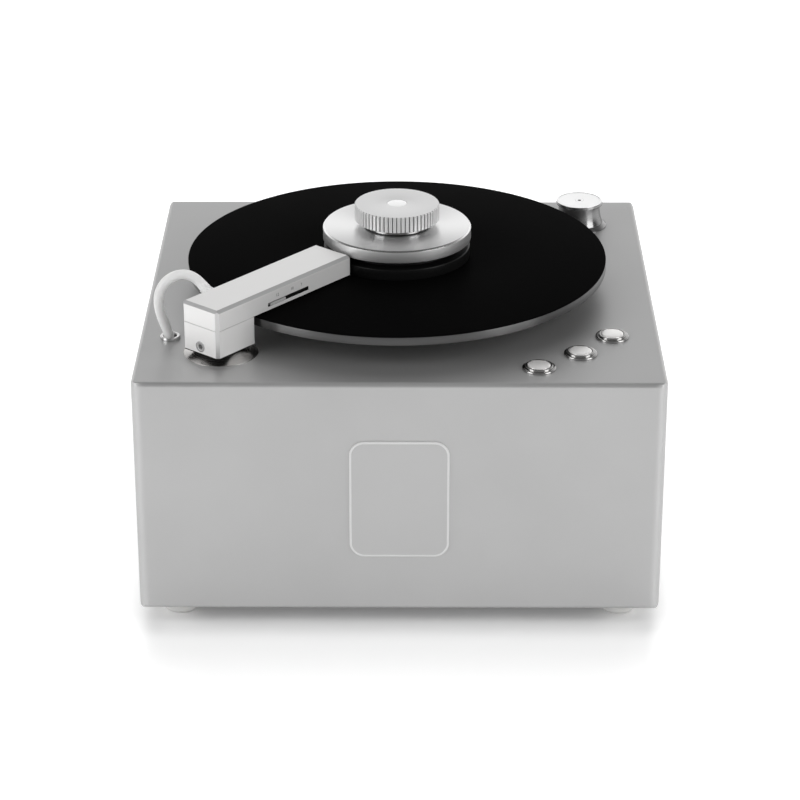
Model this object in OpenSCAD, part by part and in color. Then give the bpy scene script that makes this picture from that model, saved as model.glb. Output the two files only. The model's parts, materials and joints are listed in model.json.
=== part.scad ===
// Record cleaning machine: a box casing on four feet, with a turning platter and its clamp,
// a suction arm that lifts and swings, its hose, three push buttons and a turned post.
// Origin: on the ground under the middle of the casing. +X is right, +Y is back, +Z is up.

/* [Casing] */
// Width of the casing, left to right
casing_w = 360; // [350:1:380]
// Depth of the casing, front to back
casing_d = 345; // [338:1:365]
// Height of the casing's shell
casing_h = 171; // [160:1:190]
// Radius of the casing's outer edges along its top and bottom
casing_r = 3; // [2:0.5:5.5]
// Radius of the casing's upright edges
casing_corner_r = 8; // [5.5:0.5:10]
// Thickness of the side walls
wall_t = 6; // [5.5:0.5:9]
// Thickness of the top
top_t = 8; // [6:0.5:10]
// Thickness of the base plate
base_t = 3; // [2:0.5:4]
// Gap between the base plate's edge and the walls
base_gap = 0.5; // [0.3:0.1:1]
// Width of a slot under the blower
vent_w = 3; // [2:0.25:4]
// Step from one slot under the blower to the next
vent_step = 8; // [6:0.5:9]
// Side of the corner blocks inside the shell
block_w = 34; // [32:1:38]
// Height of the corner blocks
block_h = 30; // [20:1:36]
// Side of the small screw blocks on the front and back walls
lug_w = 14; // [12:1:16]
// Distance of the small screw blocks from the middle
lug_x = 70; // [60:1:80]

/* [Feet] */
// Height of a rubber foot
foot_h = 13; // [10:0.5:16]
// Radius of a foot at its top
foot_r = 14; // [12:0.5:16]
// Rounding of a foot's lower edge
foot_round = 6; // [3:0.5:7]
// Distance of a foot's centre from the casing's sides
foot_inset = 27; // [24:0.5:29]
// Radius of the base screws
base_screw_r = 2.5; // [2:0.25:3]
// Radius of a base screw's head
base_head_r = 4.4; // [4:0.1:5]
// Height of a base screw's head
base_head_h = 2.8; // [2:0.1:3.5]

/* [Front plate] */
// Width of the bare plate on the front
plate_w = 68; // [50:1:90]
// Height of the bare plate
plate_h = 87; // [60:1:100]
// Corner radius of the bare plate
plate_r = 8.5; // [4:0.5:12]
// Thickness of the bare plate and of the rear panel's sheet
sheet_t = 1.2; // [1:0.1:2]
// Height of the plate's middle above the casing's lower edge
plate_up = 85; // [70:1:95]
// Width of the step round the plate's edge
plate_step = 0.8; // [0.4:0.1:1.5]

/* [Platter] */
// Place of the platter's axis, left to right
platter_x = -2.5; // [-6:0.5:2]
// Place of the platter's axis, front to back
platter_y = 1.5; // [-2:0.5:5]
// Radius of the platter
platter_r = 150; // [142:0.5:151]
// Thickness of the platter
platter_t = 5.4; // [4:0.1:8]
// Thickness of the mat on the platter
mat_t = 1; // [0.6:0.1:2]
// Gap between the casing's top and the platter
platter_gap = 17.8; // [14:0.1:22]
// Edge chamfer of the platter
platter_chamfer = 0.5; // [0.2:0.1:1]
// Radius of the hub under the platter
hub_r = 24; // [18:0.5:25]
// Radius of the spindle's shaft
shaft_r = 8; // [6:0.5:9]
// Radius of the pin that centres a record
pin_r = 3.6; // [3.5:0.02:3.62]
// Height of the pin above the mat
pin_h = 23; // [18:0.5:23.5]
// Radial clearance of a turning or sliding fit
fit_gap = 0.05; // [0.02:0.01:0.08]
// Gap between faces that move past each other
run_gap = 0.3; // [0.25:0.05:0.4]

/* [Bearing and drive] */
// Radius of the bearing's flange
bearing_flange_r = 38; // [34:0.5:44]
// Thickness of the bearing's flange
bearing_flange_t = 4; // [3:0.5:6]
// Radius of the bearing's tube
bearing_tube_r = 17; // [14:0.5:20]
// Length of the bearing's tube under the casing's top
bearing_len = 48; // [44:1:50]
// Wall of a bearing bush
bush_wall = 3; // [2:0.5:4]
// Length of a bearing bush
bush_len = 14; // [10:1:18]
// Distance of the bearing's screws from the axis
bearing_screw_at = 30.5; // [29.5:0.5:33]
// Radius of the bearing's screws
bearing_screw_r = 2; // [1.5:0.25:2.5]
// Distance of the drive pulleys below the bearing's tube
pulley_gap = 5; // [3:0.5:6]
// Radius of the platter's drive pulley in its groove
drive_r = 55; // [50:1:58]
// Radius of the motor's pulley in its groove
motor_pulley_r = 14; // [10:0.5:16]
// Height of the pulleys
pulley_h = 12; // [10:0.5:12]
// Height of a pulley's rims
rim_h = 1.7; // [1:0.1:2]
// Reach of a pulley's rims past the groove
rim_r = 2.5; // [2:0.1:3.5]
// Thickness of the belt
belt_t = 1.5; // [1:0.1:1.8]
// Distance between the platter's axis and the motor's axis
motor_dist = 112; // [108:1:116]
// Direction of the motor seen from the platter's axis
motor_bearing = 36; // [32:1:40]
// Radius of the platter motor
motor_r = 28; // [22:1:30]
// Height of the platter motor
motor_h = 42; // [36:1:46]
// Radius of the platter motor's shaft
motor_shaft_r = 3; // [2:0.5:4]
// Thickness of the plate that carries the motor
carrier_t = 4; // [3:0.5:5]
// Half the side of the pattern of pillars over the motor
pillar_at = 38; // [37.5:0.5:39]
// Radius of a pillar
pillar_r = 4.5; // [3.5:0.5:5]

/* [Clamp] */
// Radius of the clamp's metal disc
clamp_r = 53; // [50:0.5:55]
// Height of the clamp's metal disc
clamp_disc_h = 9.25; // [7:0.25:12]
// Radius of the clamp's lower ring
clamp_base_r = 52.4; // [48:0.2:52.6]
// Height of the clamp's lower ring
clamp_base_h = 8; // [6:0.25:10]
// Radius of the core in the groove under the disc
clamp_core_r = 44; // [36:0.5:48]
// Height of the groove under the disc
clamp_groove_h = 4.95; // [3:0.05:6]
// Radius of the polished neck
neck_r = 24; // [18:0.5:27]
// Height of the polished neck
neck_h = 4.6; // [3:0.1:6]
// Radius of the knob
knob_r = 30.3; // [28:0.1:34]
// Height of the knob
knob_h = 11.65; // [9:0.05:14]
// Edge chamfer of the disc and the knob
clamp_chamfer = 1; // [0.4:0.1:1.5]
// Radius of the round inlay in the knob
inlay_r = 7.15; // [5:0.05:9]
// Depth of the round inlay
inlay_t = 1; // [0.6:0.1:2]
// Radius of the knob's stem in the neck
stem_r = 10; // [7:0.5:14]
// Length of the knob's stem
stem_h = 2.8; // [2:0.1:3]
// How far the clamp lifts off the pin
clamp_travel = 30; // [25:1:40]

/* [Suction arm] */
// Distance between the platter's axis and the arm's pivot
pivot_dist = 170; // [168:0.5:172]
// Direction of the pivot seen from the platter's axis
pivot_bearing = 225.3; // [224:0.1:227]
// Direction in which the arm points at rest
arm_angle = 49.9; // [48:0.1:52]
// Gap between the arm's tip and the clamp as the arm swings past
tip_gap = 1; // [0.6:0.1:3]
// Width of the arm
bar_w = 33.2; // [31:0.1:35]
// Height of the arm's bar
bar_h = 14.7; // [13.5:0.1:16]
// Gap between the mat and the bar
bar_gap = 1.3; // [1.1:0.05:2]
// Length of the arm behind the pivot
bar_back = 20.1; // [18.5:0.1:22]
// Length of the lower block in front of the pivot
block_front = 15.8; // [13:0.1:18]
// Chamfer of the arm's top and rear edges
arm_chamfer = 2; // [1:0.1:2.2]
// Gap between the casing's top and the arm's lower block
block_gap = 5.6; // [5.2:0.1:6]
// Thickness of the bar's side walls
bar_wall = 3; // [2:0.1:3.5]
// Thickness of the bar's floor
bar_floor = 2; // [1.6:0.1:2.4]
// Height of the channel in the bar
channel_h = 8.5; // [7.5:0.1:9]
// Where the channel starts in front of the pivot
channel_start = 7; // [5:0.5:8]
// Width of the slit under the bar
slit_w = 3; // [2:0.1:3.5]
// Where the slit starts in front of the pivot
slit_start = 26; // [24:0.5:28]
// Width of each felt lip beside the slit
lip_w = 5; // [4:0.5:7]
// Length of each lip past the slit's ends
lip_over = 3; // [2:0.5:4]
// Radius of the column under the arm
column_r = 9; // [8.5:0.1:9.5]
// Radius of the column's head in the block
head_r = 8; // [7:0.1:8.2]
// Height of the column's head
head_h = 13; // [11:0.5:15]
// Height of the set screw above the block's lower face
set_screw_up = 4.8; // [4.4:0.1:6]
// Radius of the set screw
set_screw_r = 2.65; // [2.3:0.05:2.8]
// Radius of the set screw's tip
set_tip_r = 1.6; // [1.2:0.1:1.8]
// Depth of the groove in the column's head
head_groove = 1.5; // [1.2:0.1:2]
// Radius of the screws that hold the bar to the block
bar_screw_r = 1.5; // [1.2:0.1:1.8]
// Radius of those screws' heads
bar_screw_head_r = 2.8; // [2.4:0.1:3]
// How far the arm lifts
lift_travel = 8; // [5:0.5:9]
// How far the arm swings out to its parked place, in degrees
swing_range = 85; // [60:1:90]

/* [Size slider] */
// Start of the slot in the arm's side, in front of the pivot
slot_start = 30.2; // [29:0.2:34]
// Length of the slot
slot_len = 41; // [36:0.5:44]
// Height of the slot
slot_h = 2.8; // [2.4:0.1:3.2]
// Length of the slider's tab
tab_len = 15.4; // [12:0.2:18]
// Height of the slider's tab
tab_h = 1.9; // [1.5:0.1:2]
// How far the tab stands out of the arm's side
tab_proud = 0.4; // [0.2:0.1:1]
// Thickness of the slider's shutter strip
shutter_t = 1.2; // [1:0.1:1.5]
// Length of the shutter strip
shutter_len = 38; // [30:1:45]

/* [Pivot and hose] */
// Radius of the flared flange round the arm's column
flange_r = 25.7; // [24:0.1:26.5]
// Height of the flange's outer lip
flange_lip = 0.8; // [0.5:0.1:1.2]
// Height of the flange at its middle
flange_h = 4.3; // [3.5:0.1:4.8]
// Radius of the flange's flat middle
flange_flat_r = 14; // [12.5:0.1:16]
// Wall of the tube under the flange
pivot_wall = 3; // [2.5:0.1:3.5]
// Length of the tube under the casing's top face
pivot_len = 36; // [34:1:40]
// Height of the nut under the pivot
pivot_nut_h = 6; // [5:0.5:8]
// Width of the key inside the pivot's tube
key_w = 3; // [2.5:0.1:3.5]
// Depth of the key inside the pivot's tube
key_d = 2; // [1.5:0.1:2.5]
// Height of the key
key_h = 15; // [10:0.5:18]
// Height of the clip at the column's lower end
clip_h = 2; // [1.5:0.1:3]
// Reach of the clip past the column
clip_reach = 3; // [2.5:0.1:3.5]
// Place of the hose's ring, right of the arm's pivot
ring_dx = -36.7; // [-37:0.1:-36.4]
// Place of the hose's ring, behind the arm's pivot
ring_dy = 23.2; // [22.8:0.1:23.6]
// Outer radius of the hose's ring
ring_r = 6.9; // [6.7:0.1:7.4]
// Inner radius of the hose's ring
ring_bore_r = 5.4; // [5.2:0.1:5.5]
// Height of the hose's ring above the casing's top
ring_h = 2.2; // [1.6:0.1:3]
// Radius of the hose
hose_r = 3.5; // [3.2:0.1:3.6]
// Radius of the nipple's flange on the arm
nipple_r = 4.2; // [3.8:0.1:4.4]
// Thickness of the nipple's flange
nipple_t = 1.5; // [1.4:0.05:1.6]
// Bore of the nipple
nipple_bore_r = 2; // [1.5:0.1:2.5]
// Place of the nipple in front of the pivot
nipple_at = 11.5; // [11:0.1:12]
// Height of the nipple above the bar's lower face
nipple_up = 8.8; // [8.5:0.1:9.2]

/* [Buttons] */
// Distance of the buttons from the platter's axis
button_arc_r = 176.7; // [175:0.1:178]
// Direction of the middle button seen from the platter's axis
button_bearing = -44.5; // [-46:0.1:-43]
// Angle from one button to the next
button_step = 12.3; // [11.5:0.1:13]
// Radius of a button's bezel
bezel_r = 11.6; // [11:0.1:12.5]
// Height of a bezel's outer flange
bezel_h = 1.5; // [1.2:0.1:2]
// Radius of a bezel's raised ring
bezel_ring_r = 9.6; // [9.2:0.1:10.2]
// Height of a bezel's raised ring
bezel_ring_h = 2.6; // [2.4:0.1:3.4]
// Radius of a bezel's threaded barrel
barrel_r = 9.4; // [8.8:0.1:10]
// Length of the barrel under the casing's top face
barrel_len = 28; // [24:1:32]
// Radius of a button's cap
cap_r = 7.75; // [7:0.05:8]
// Height of a cap's top above the bezel's ring
cap_proud = 0.5; // [0.3:0.1:1]
// Thickness of a cap
cap_t = 7; // [5:0.5:9]
// Travel of a button
button_travel = 1.5; // [1:0.1:2]
// Height of a button's nut
button_nut_h = 4; // [3:0.5:5]

/* [Rear post] */
// Distance of the post's axis from the casing's right side
post_inset_x = 44.7; // [42:0.1:48]
// Distance of the post's axis from the casing's back
post_inset_y = 49.5; // [46:0.1:54]
// Radius of the post's base
post_base_r = 20.9; // [19.5:0.1:22]
// Height of the post's base
post_base_h = 3; // [2:0.1:4]
// Radius of the post's body at its foot
post_foot_r = 17.4; // [16.8:0.1:18]
// Radius of the post at its waist
post_waist_r = 15.8; // [14:0.1:16.4]
// Radius of the post's top
post_top_r = 17.3; // [16.6:0.1:18.5]
// Height of the post above the casing
post_h = 20; // [17:0.5:24]
// Thickness of the post's top rim
post_rim_h = 2.4; // [1.5:0.1:4]
// Depth of the dish in the post's top
post_dish = 0.5; // [0.3:0.1:1]
// Radius of the post's screw
post_screw_r = 2.5; // [2:0.1:3]
// Radius of the post's screw head
post_head_r = 3.2; // [3.1:0.1:4]

/* [Rear panel] */
// Place of the rear panel's middle, left to right
panel_x = -60; // [-64:1:-56]
// Height of the rear panel's middle above the casing's lower edge
panel_up = 37; // [35:1:45]
// Width of the well in the rear panel
well_w = 130; // [126:1:134]
// Height of the well in the rear panel
well_h = 40; // [38:1:44]
// Depth of the well in the rear panel
well_depth = 22; // [22:0.5:26]
// Width of the panel's flange round the well
panel_flange = 8; // [7:0.5:9]
// Radius of the panel's screws
panel_screw_r = 1.5; // [1:0.25:2]
// Place of the mains inlet, right of the panel's middle
inlet_dx = 38; // [36:0.5:39]
// Place of the power switch, left of the panel's middle
switch_dx = -8; // [-12:0.5:-5]
// Place of the drain, left of the panel's middle
drain_dx = -50; // [-54:0.5:-48]
// Height of the drain below the panel's middle
drain_down = 11; // [9:0.25:11.5]
// Outer radius of the drain spout
spout_r = 5; // [4:0.25:5.5]
// Bore of the drain spout
spout_bore_r = 3.2; // [2.5:0.1:3.5]
// Length of the drain spout in the well
spout_len = 15; // [12:0.5:16]
// Wall of the drain's rubber cap
cap_wall = 2; // [1.5:0.1:2.5]
// Length of the drain's rubber cap
drain_cap_len = 14; // [10:0.5:16]
// How far the drain's cap pulls off
drain_travel = 18; // [14:0.5:24]

/* [Tank and blower] */
// Width of the waste tank
tank_w = 98; // [90:1:102]
// Depth of the waste tank, front to back
tank_d = 190; // [170:1:194]
// Height of the waste tank without its rails
tank_h = 66; // [56:1:68]
// Wall of the waste tank
tank_wall = 2.5; // [2:0.1:3.5]
// Height of the rails under the tank
rail_h = 12; // [11:0.5:14]
// Gap between the tank and what it stands beside
tank_gap = 2.5; // [2:0.5:5]
// Thickness of the tank's lid
lid_t = 3; // [2:0.5:4]
// Outer radius of the air duct
duct_r = 9; // [8:0.25:9.5]
// Wall of the air duct
duct_wall = 1.5; // [1:0.1:2]
// Bend radius of the air duct
duct_bend = 14; // [12:0.5:16]
// Place of the blower's axis, left to right
blower_x = 13; // [10:1:16]
// Distance of the blower's axis from the front wall's inside
blower_back = 71.5; // [66:0.5:74]
// Radius of the blower's fan case
fan_case_r = 50; // [47:0.5:52]
// Height of the blower's fan case
fan_case_h = 34; // [30:1:38]
// Wall of the fan case
fan_wall = 4; // [3:0.25:4.5]
// Radius of the impeller
impeller_r = 42; // [36:0.5:43]
// Height of the impeller
impeller_h = 14; // [10:0.5:16]
// Radius of the impeller's shaft
fan_shaft_r = 4; // [3:0.25:5]
// Radius of the blower's motor
fan_motor_r = 26; // [22:0.5:27.5]
// Height of the blower's motor
fan_motor_h = 46; // [40:1:50]

/* [Electrics] */
// Width of the control board
board_w = 70; // [60:1:74]
// Depth of the control board
board_d = 78; // [70:1:84]
// Thickness of the control board
board_t = 1.6; // [1:0.1:2.4]
// Height of the posts under the control board
board_up = 8; // [5:0.5:12]
// Width of the transformer
trafo_w = 78; // [66:1:82]
// Depth of the transformer
trafo_d = 46; // [40:1:48]
// Height of the transformer
trafo_h = 44; // [38:1:46]
// How far the transformer's coil stands out of its core
trafo_coil = 4; // [3:0.5:5]
// Gap between the electric units and the casing's blocks
unit_gap = 4; // [2:0.5:6]
// Radius of the mains lead inside the casing
lead_r = 3; // [2:0.25:4]
// Radius of a button's wires
wire_r = 1.5; // [1:0.1:2]

/* [Hidden] */
$fn = 72;
EPS = 0.01;

// Levels, from the ground up
inside_z = foot_h + base_t;
top_z = foot_h + casing_h;
ceiling_z = top_z - top_t;
platter_z = top_z + platter_gap;
sweep_r = pivot_dist - platter_r - 0.6;
mat_z = platter_z + platter_t + mat_t;
clamp_z = mat_z + run_gap;
groove_z = clamp_z + clamp_base_h;
disc_z = groove_z + clamp_groove_h;
neck_z = disc_z + clamp_disc_h;
knob_z = neck_z + neck_h;
bar_z = mat_z + bar_gap;
arm_top_z = bar_z + bar_h;
block_z = top_z + block_gap;
hub_z = top_z + bearing_flange_t + run_gap;
bearing_end_z = top_z - bearing_len - top_t;
pulley_z = bearing_end_z - pulley_gap - pulley_h;
carrier_z = pulley_z - run_gap * 10 - carrier_t;

// Plan places
inside_x = casing_w / 2 - wall_t;
inside_y = casing_d / 2 - wall_t;
blower_y = blower_back - inside_y;
foot_x = casing_w / 2 - foot_inset;
foot_y = casing_d / 2 - foot_inset;
pivot_x = platter_x + pivot_dist * cos(pivot_bearing);
pivot_y = platter_y + pivot_dist * sin(pivot_bearing);
ring_x = pivot_x + ring_dx;
ring_y = pivot_y + ring_dy;
post_x = casing_w / 2 - post_inset_x;
post_y = casing_d / 2 - post_inset_y;
motor_x = platter_x + motor_dist * cos(motor_bearing);
motor_y = platter_y + motor_dist * sin(motor_bearing);
button_angles = [for (i = [-1:1]) button_bearing + i * button_step];
panel_z = foot_h + panel_up;

// The arm's bar, measured from the pivot towards its tip
bar_front = sqrt(pow(pivot_dist - clamp_r - tip_gap, 2) - pow(bar_w / 2, 2));
channel_end = bar_front - bar_wall;
slit_end = channel_end - lip_over;
slot_z = bar_z + bar_floor + 0.4;
slider_travel = slot_len - tab_len - 4 * run_gap - 1.4;

// Where the column slides in its tube
column_bore_r = column_r + fit_gap;
pivot_tube_r = column_bore_r + pivot_wall;
pivot_end_z = top_z - pivot_len;
clip_z = pivot_end_z - lift_travel - run_gap - clip_h;
column_end_z = clip_z - 1.5;

// The well in the rear panel
well_floor_y = casing_d / 2 + sheet_t - well_depth;
drain_x = panel_x + drain_dx;
drain_z = panel_z - drain_down;
inlet_x = panel_x + inlet_dx;
switch_x = panel_x + switch_dx;

// The tank, from its left front lower corner
tank_x = -inside_x + tank_gap * 2;
tank_y = -inside_y + block_w + tank_gap;
tank_z = inside_z + rail_h;
tank_top_z = tank_z + tank_h;
lid_top_z = tank_top_z + lid_t;
outlet_x = tank_x + tank_w - duct_r * 2 - 7;
duct_z = lid_top_z + 6 + duct_bend;
fan_top_z = inside_z + fan_case_h;
fan_inlet_x = blower_x - (fan_case_r + fan_motor_r) / 2 - 1.5;

// Screw holes that the casing, the base plate and the feet share
corner_spots = [for (x = [-1, 1]) for (y = [-1, 1]) [x * foot_x, y * foot_y]];
lug_y = inside_y - lug_w / 2;
lug_spots = [[-lug_x, -lug_y], [lug_x, -lug_y], [lug_x, lug_y]];
panel_spots = [for (x = [-1, 1]) for (z = [-1, 1])
    [x * (well_w / 2 + panel_flange * 0.65), z * (well_h / 2 + panel_flange * 0.65)]];

// Route of the suction hose: its bow away from a straight line between the arm's nipple and the ring,
// then straight down inside
hose_start = [
    pivot_x + nipple_at * cos(arm_angle) - (bar_w / 2 + nipple_t + run_gap) * sin(arm_angle),
    pivot_y + nipple_at * sin(arm_angle) + (bar_w / 2 + nipple_t + run_gap) * cos(arm_angle),
    bar_z + nipple_up
];
hose_drop = [ring_x, ring_y, top_z - 6];
hose_out = [-sin(arm_angle), cos(arm_angle), 0];
hose_bow = [
    [-1.77, 2.76, 2.92], [-3.26, 5.19, 7.08], [-4.87, 6.86, 11.78], [-6.89, 7.58, 16.42],
    [-9.43, 7.47, 20.35], [-12.32, 6.85, 23.09], [-15.22, 6.08, 24.61], [-17.84, 5.3, 24.99],
    [-19.88, 4.56, 24.34], [-21.11, 3.83, 22.86], [-21.36, 3.12, 20.79], [-20.59, 2.46, 18.42],
    [-18.89, 1.88, 15.98], [-16.49, 1.38, 13.62], [-13.63, 0.98, 11.36], [-10.5, 0.68, 9.19],
    [-7.33, 0.46, 7.04], [-4.37, 0.28, 4.81], [-1.87, 0.13, 2.46]
];
hose_path = concat(
    [hose_start, hose_start + 0.5 * hose_out],
    [for (i = [0:18]) hose_start + (hose_drop - hose_start) * (i + 1) / 20 + hose_bow[i]],
    [for (z = [0, 0.5, 10, 20, 30, 40]) hose_drop - [0, 0, z]]
);

// Small shapes that the sub-parts share

// A rectangle with round corners, centred
module rounded_rect(w, d, r) {
    square([w - 2 * r, d], center = true);
    square([w, d - 2 * r], center = true);
    for (x = [-1, 1]) {
        for (y = [-1, 1]) {
            translate([x * (w / 2 - r), y * (d / 2 - r)]) circle(r);
        }
    }
}

// A ring standing on z = 0
module tube(outer, bore, h) {
    difference() {
        cylinder(h = h, r = outer);
        translate([0, 0, -EPS]) cylinder(h = h + 2 * EPS, r = bore);
    }
}

// A round bar from one point to another
module rod(p, q, r) {
    v = q - p;
    translate(p) rotate([0, acos(v[2] / norm(v)), atan2(v[1], v[0])]) cylinder(h = norm(v), r = r);
}

// A round bar through several points, with ball knees
module bent_rod(points, r) {
    for (i = [0:len(points) - 2]) {
        rod(points[i], points[i + 1], r);
    }
    for (i = [1:len(points) - 2]) {
        translate(points[i]) sphere(r * 1.25);
    }
}

// Half a turned section: a block from the axis to r, from z to z + h, with its upper edge chamfered
module turned_block(r, h, chamfer) {
    polygon([[0, 0], [r, 0], [r, h - chamfer], [r - chamfer, h], [0, h]]);
}

// The corner that rounds off the outer edge of a turned section, at its upper end
module upper_round(r, z, round) {
    translate([r - round, z - round]) difference() {
        square([round + EPS, round + EPS]);
        circle(round);
    }
}

// A hexagonal bar with a given distance across its flats
module hex_bar(flats, h) {
    cylinder(h = h, r = flats / sqrt(3), $fn = 6);
}

// A cap screw's head and shank, head up, with the head's seat at z = 0
module cap_screw(head_r, head_h, r, length, socket) {
    difference() {
        union() {
            cylinder(h = head_h, r = head_r);
            translate([0, 0, -length]) cylinder(h = length + EPS, r = r);
        }
        translate([0, 0, head_h * 0.4]) hex_bar(socket, head_h);
    }
}

// A belt loop round two pulleys: two arcs and two straight runs
module belt_loop(r1, r2, distance, thick, width) {
    lean = acos((r1 - r2) / distance);
    run = distance * sin(lean);
    rotate([0, 0, lean]) rotate_extrude(angle = 360 - 2 * lean) translate([r1, 0]) square([thick, width]);
    translate([distance, 0, 0]) rotate([0, 0, -lean])
        rotate_extrude(angle = 2 * lean) translate([r2, 0]) square([thick, width]);
    for (side = [0, 1]) {
        mirror([0, side, 0]) rotate([0, 0, lean]) translate([r1, -run, 0]) cube([thick, run, width]);
    }
}

// A round tube swept along a list of points
function unit(v) = v / norm(v);
function along(path, i) = unit(path[min(i + 1, len(path) - 1)] - path[max(i - 1, 0)]);
function ring_at(path, i, r, sides) =
    let (t = along(path, i), side = unit(cross(t, [0, 1, 0])), up = cross(side, t))
    [for (k = [0:sides - 1]) path[i] + r * (cos(360 * k / sides) * side + sin(360 * k / sides) * up)];

module swept_tube(path, r, sides) {
    rings = len(path);
    points = [for (i = [0:rings - 1]) each ring_at(path, i, r, sides)];
    walls = [for (i = [0:rings - 2]) for (k = [0:sides - 1])
        let (a = i * sides + k, b = i * sides + (k + 1) % sides)
        each [[a, b, b + sides], [a, b + sides, a + sides]]];
    ends = [[for (k = [0:sides - 1]) sides - 1 - k], [for (k = [0:sides - 1]) (rings - 1) * sides + k]];
    polyhedron(points = points, faces = concat(walls, ends));
}

// Frames that carry children to the place of a sub-part

module at_platter() {
    translate([platter_x, platter_y, 0]) children();
}

module at_pivot() {
    translate([pivot_x, pivot_y, 0]) children();
}

// Along the arm: x runs from the pivot to the tip, y to the arm's left side
module along_arm() {
    at_pivot() rotate([0, 0, arm_angle]) children();
}

module at_motor() {
    translate([motor_x, motor_y, 0]) rotate([0, 0, motor_bearing]) children();
}

module at_blower() {
    translate([blower_x, blower_y, 0]) children();
}

module at_post() {
    translate([post_x, post_y, 0]) children();
}

module at_button(i) {
    at_platter() rotate([0, 0, button_angles[i]]) translate([button_arc_r, 0, 0]) children();
}

// In the rear panel: x to the right seen from the front, y up, z out of the back
module on_panel() {
    translate([panel_x, casing_d / 2, panel_z]) rotate([90, 0, 180]) mirror([1, 0, 0]) children();
}

// Casing

module casing_block() {
    mid_z = foot_h + casing_h / 2;
    intersection() {
        translate([0, 0, foot_h]) linear_extrude(casing_h) rounded_rect(casing_w, casing_d, casing_corner_r);
        translate([0, casing_d / 2, mid_z]) rotate([90, 0, 0])
            linear_extrude(casing_d) rounded_rect(casing_w, casing_h, casing_r);
        translate([-casing_w / 2, 0, mid_z]) rotate([90, 0, 90])
            linear_extrude(casing_w) rounded_rect(casing_d, casing_h, casing_r);
    }
}

module casing_hollow() {
    corner = block_w;
    difference() {
        translate([-inside_x, -inside_y, foot_h - 1]) cube([2 * inside_x, 2 * inside_y, ceiling_z - foot_h + 1]);
        for (x = [-1, 1]) {
            for (y = [-1, 1]) {
                translate([x * (inside_x - corner / 2), y * (inside_y - corner / 2), inside_z + block_h / 2])
                    cube([corner, corner, block_h], center = true);
            }
        }
        for (p = lug_spots) {
            translate([p[0], p[1], inside_z + lug_w / 2]) cube([lug_w, lug_w, lug_w], center = true);
        }
    }
}

module casing() {
    color("silver") difference() {
        casing_block();
        casing_hollow();
        at_platter() {
            translate([0, 0, ceiling_z - 1]) cylinder(h = top_t + 2, r = bearing_tube_r + fit_gap);
            for (a = [45:90:315]) {
                rotate([0, 0, a]) translate([bearing_screw_at, 0, top_z - 6])
                    cylinder(h = 7, r = bearing_screw_r + 0.02);
            }
        }
        at_pivot() translate([0, 0, ceiling_z - 1]) cylinder(h = top_t + 2, r = pivot_tube_r + fit_gap);
        translate([ring_x, ring_y, ceiling_z - 1]) cylinder(h = top_t + 2, r = (ring_r + ring_bore_r) / 2 + fit_gap);
        at_post() translate([0, 0, ceiling_z - 1]) cylinder(h = top_t + 2, r = post_screw_r + 0.02);
        for (i = [0:2]) {
            at_button(i) {
                translate([0, 0, top_z - barrel_len - fit_gap]) cylinder(h = barrel_len + 1, r = barrel_r + fit_gap);
                translate([0, 0, ceiling_z - button_nut_h - fit_gap])
                    hex_bar(2 * (barrel_r + fit_gap) + 4, button_nut_h + fit_gap - EPS);
            }
        }
        for (p = concat(corner_spots, lug_spots)) {
            translate([p[0], p[1], inside_z - 1]) cylinder(h = 13, r = base_screw_r);
        }
        at_motor() for (x = [-1, 1]) {
            for (y = [-1, 1]) {
                translate([x * pillar_at, y * pillar_at, ceiling_z - 1]) cylinder(h = 5, r = pillar_r / 2);
            }
        }
        on_panel() {
            translate([0, 0, -wall_t - 1]) linear_extrude(wall_t + 2)
                square([well_w + 2 * sheet_t + 2, well_h + 2 * sheet_t + 2], center = true);
            for (p = panel_spots) {
                translate([p[0], p[1], -wall_t + 1]) cylinder(h = wall_t, r = panel_screw_r);
            }
        }
    }
}

module base_plate() {
    color("dimgray") difference() {
        translate([0, 0, foot_h + base_t / 2])
            cube([2 * (inside_x - base_gap), 2 * (inside_y - base_gap), base_t], center = true);
        for (p = concat(corner_spots, lug_spots)) {
            translate([p[0], p[1], foot_h - 1]) cylinder(h = base_t + 2, r = base_screw_r + fit_gap);
        }
        at_blower() for (i = [-4:4]) {
            translate([i * vent_step, 0, foot_h - 1]) linear_extrude(base_t + 2) {
                square([vent_w, 7 * vent_step], center = true);
                for (y = [-3.5 * vent_step, 3.5 * vent_step]) {
                    translate([0, y]) circle(vent_w / 2);
                }
            }
        }
    }
}

module feet() {
    recess = base_head_h + 2;
    color("whitesmoke") for (p = corner_spots) {
        translate([p[0], p[1], 0]) rotate_extrude() difference() {
            square([foot_r, foot_h]);
            mirror([0, 1]) upper_round(foot_r, 0, foot_round);
            square([base_head_r + 1, recess]);
            square([base_screw_r + fit_gap, foot_h + 1]);
        }
    }
}

module base_screws() {
    color("gray") {
        for (p = corner_spots) {
            translate([p[0], p[1], base_head_h + 2]) mirror([0, 0, 1])
                cap_screw(base_head_r, base_head_h, base_screw_r, foot_h - base_head_h - 2 + base_t + 10, 3);
        }
        for (p = lug_spots) {
            translate([p[0], p[1], foot_h]) mirror([0, 0, 1])
                cap_screw(base_head_r, base_head_h, base_screw_r, base_t + 9, 3);
        }
    }
}

module front_plate() {
    color("silver") translate([0, -casing_d / 2, foot_h + plate_up]) rotate([90, 0, 0]) {
        linear_extrude(sheet_t - 0.4) rounded_rect(plate_w, plate_h, plate_r);
        linear_extrude(sheet_t)
            rounded_rect(plate_w - 2 * plate_step, plate_h - 2 * plate_step, plate_r - plate_step);
    }
}

// Rear panel and what sits in its well

inlet_w = 27;
inlet_h = 19;
switch_w = 15;
switch_h = 24;

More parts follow.
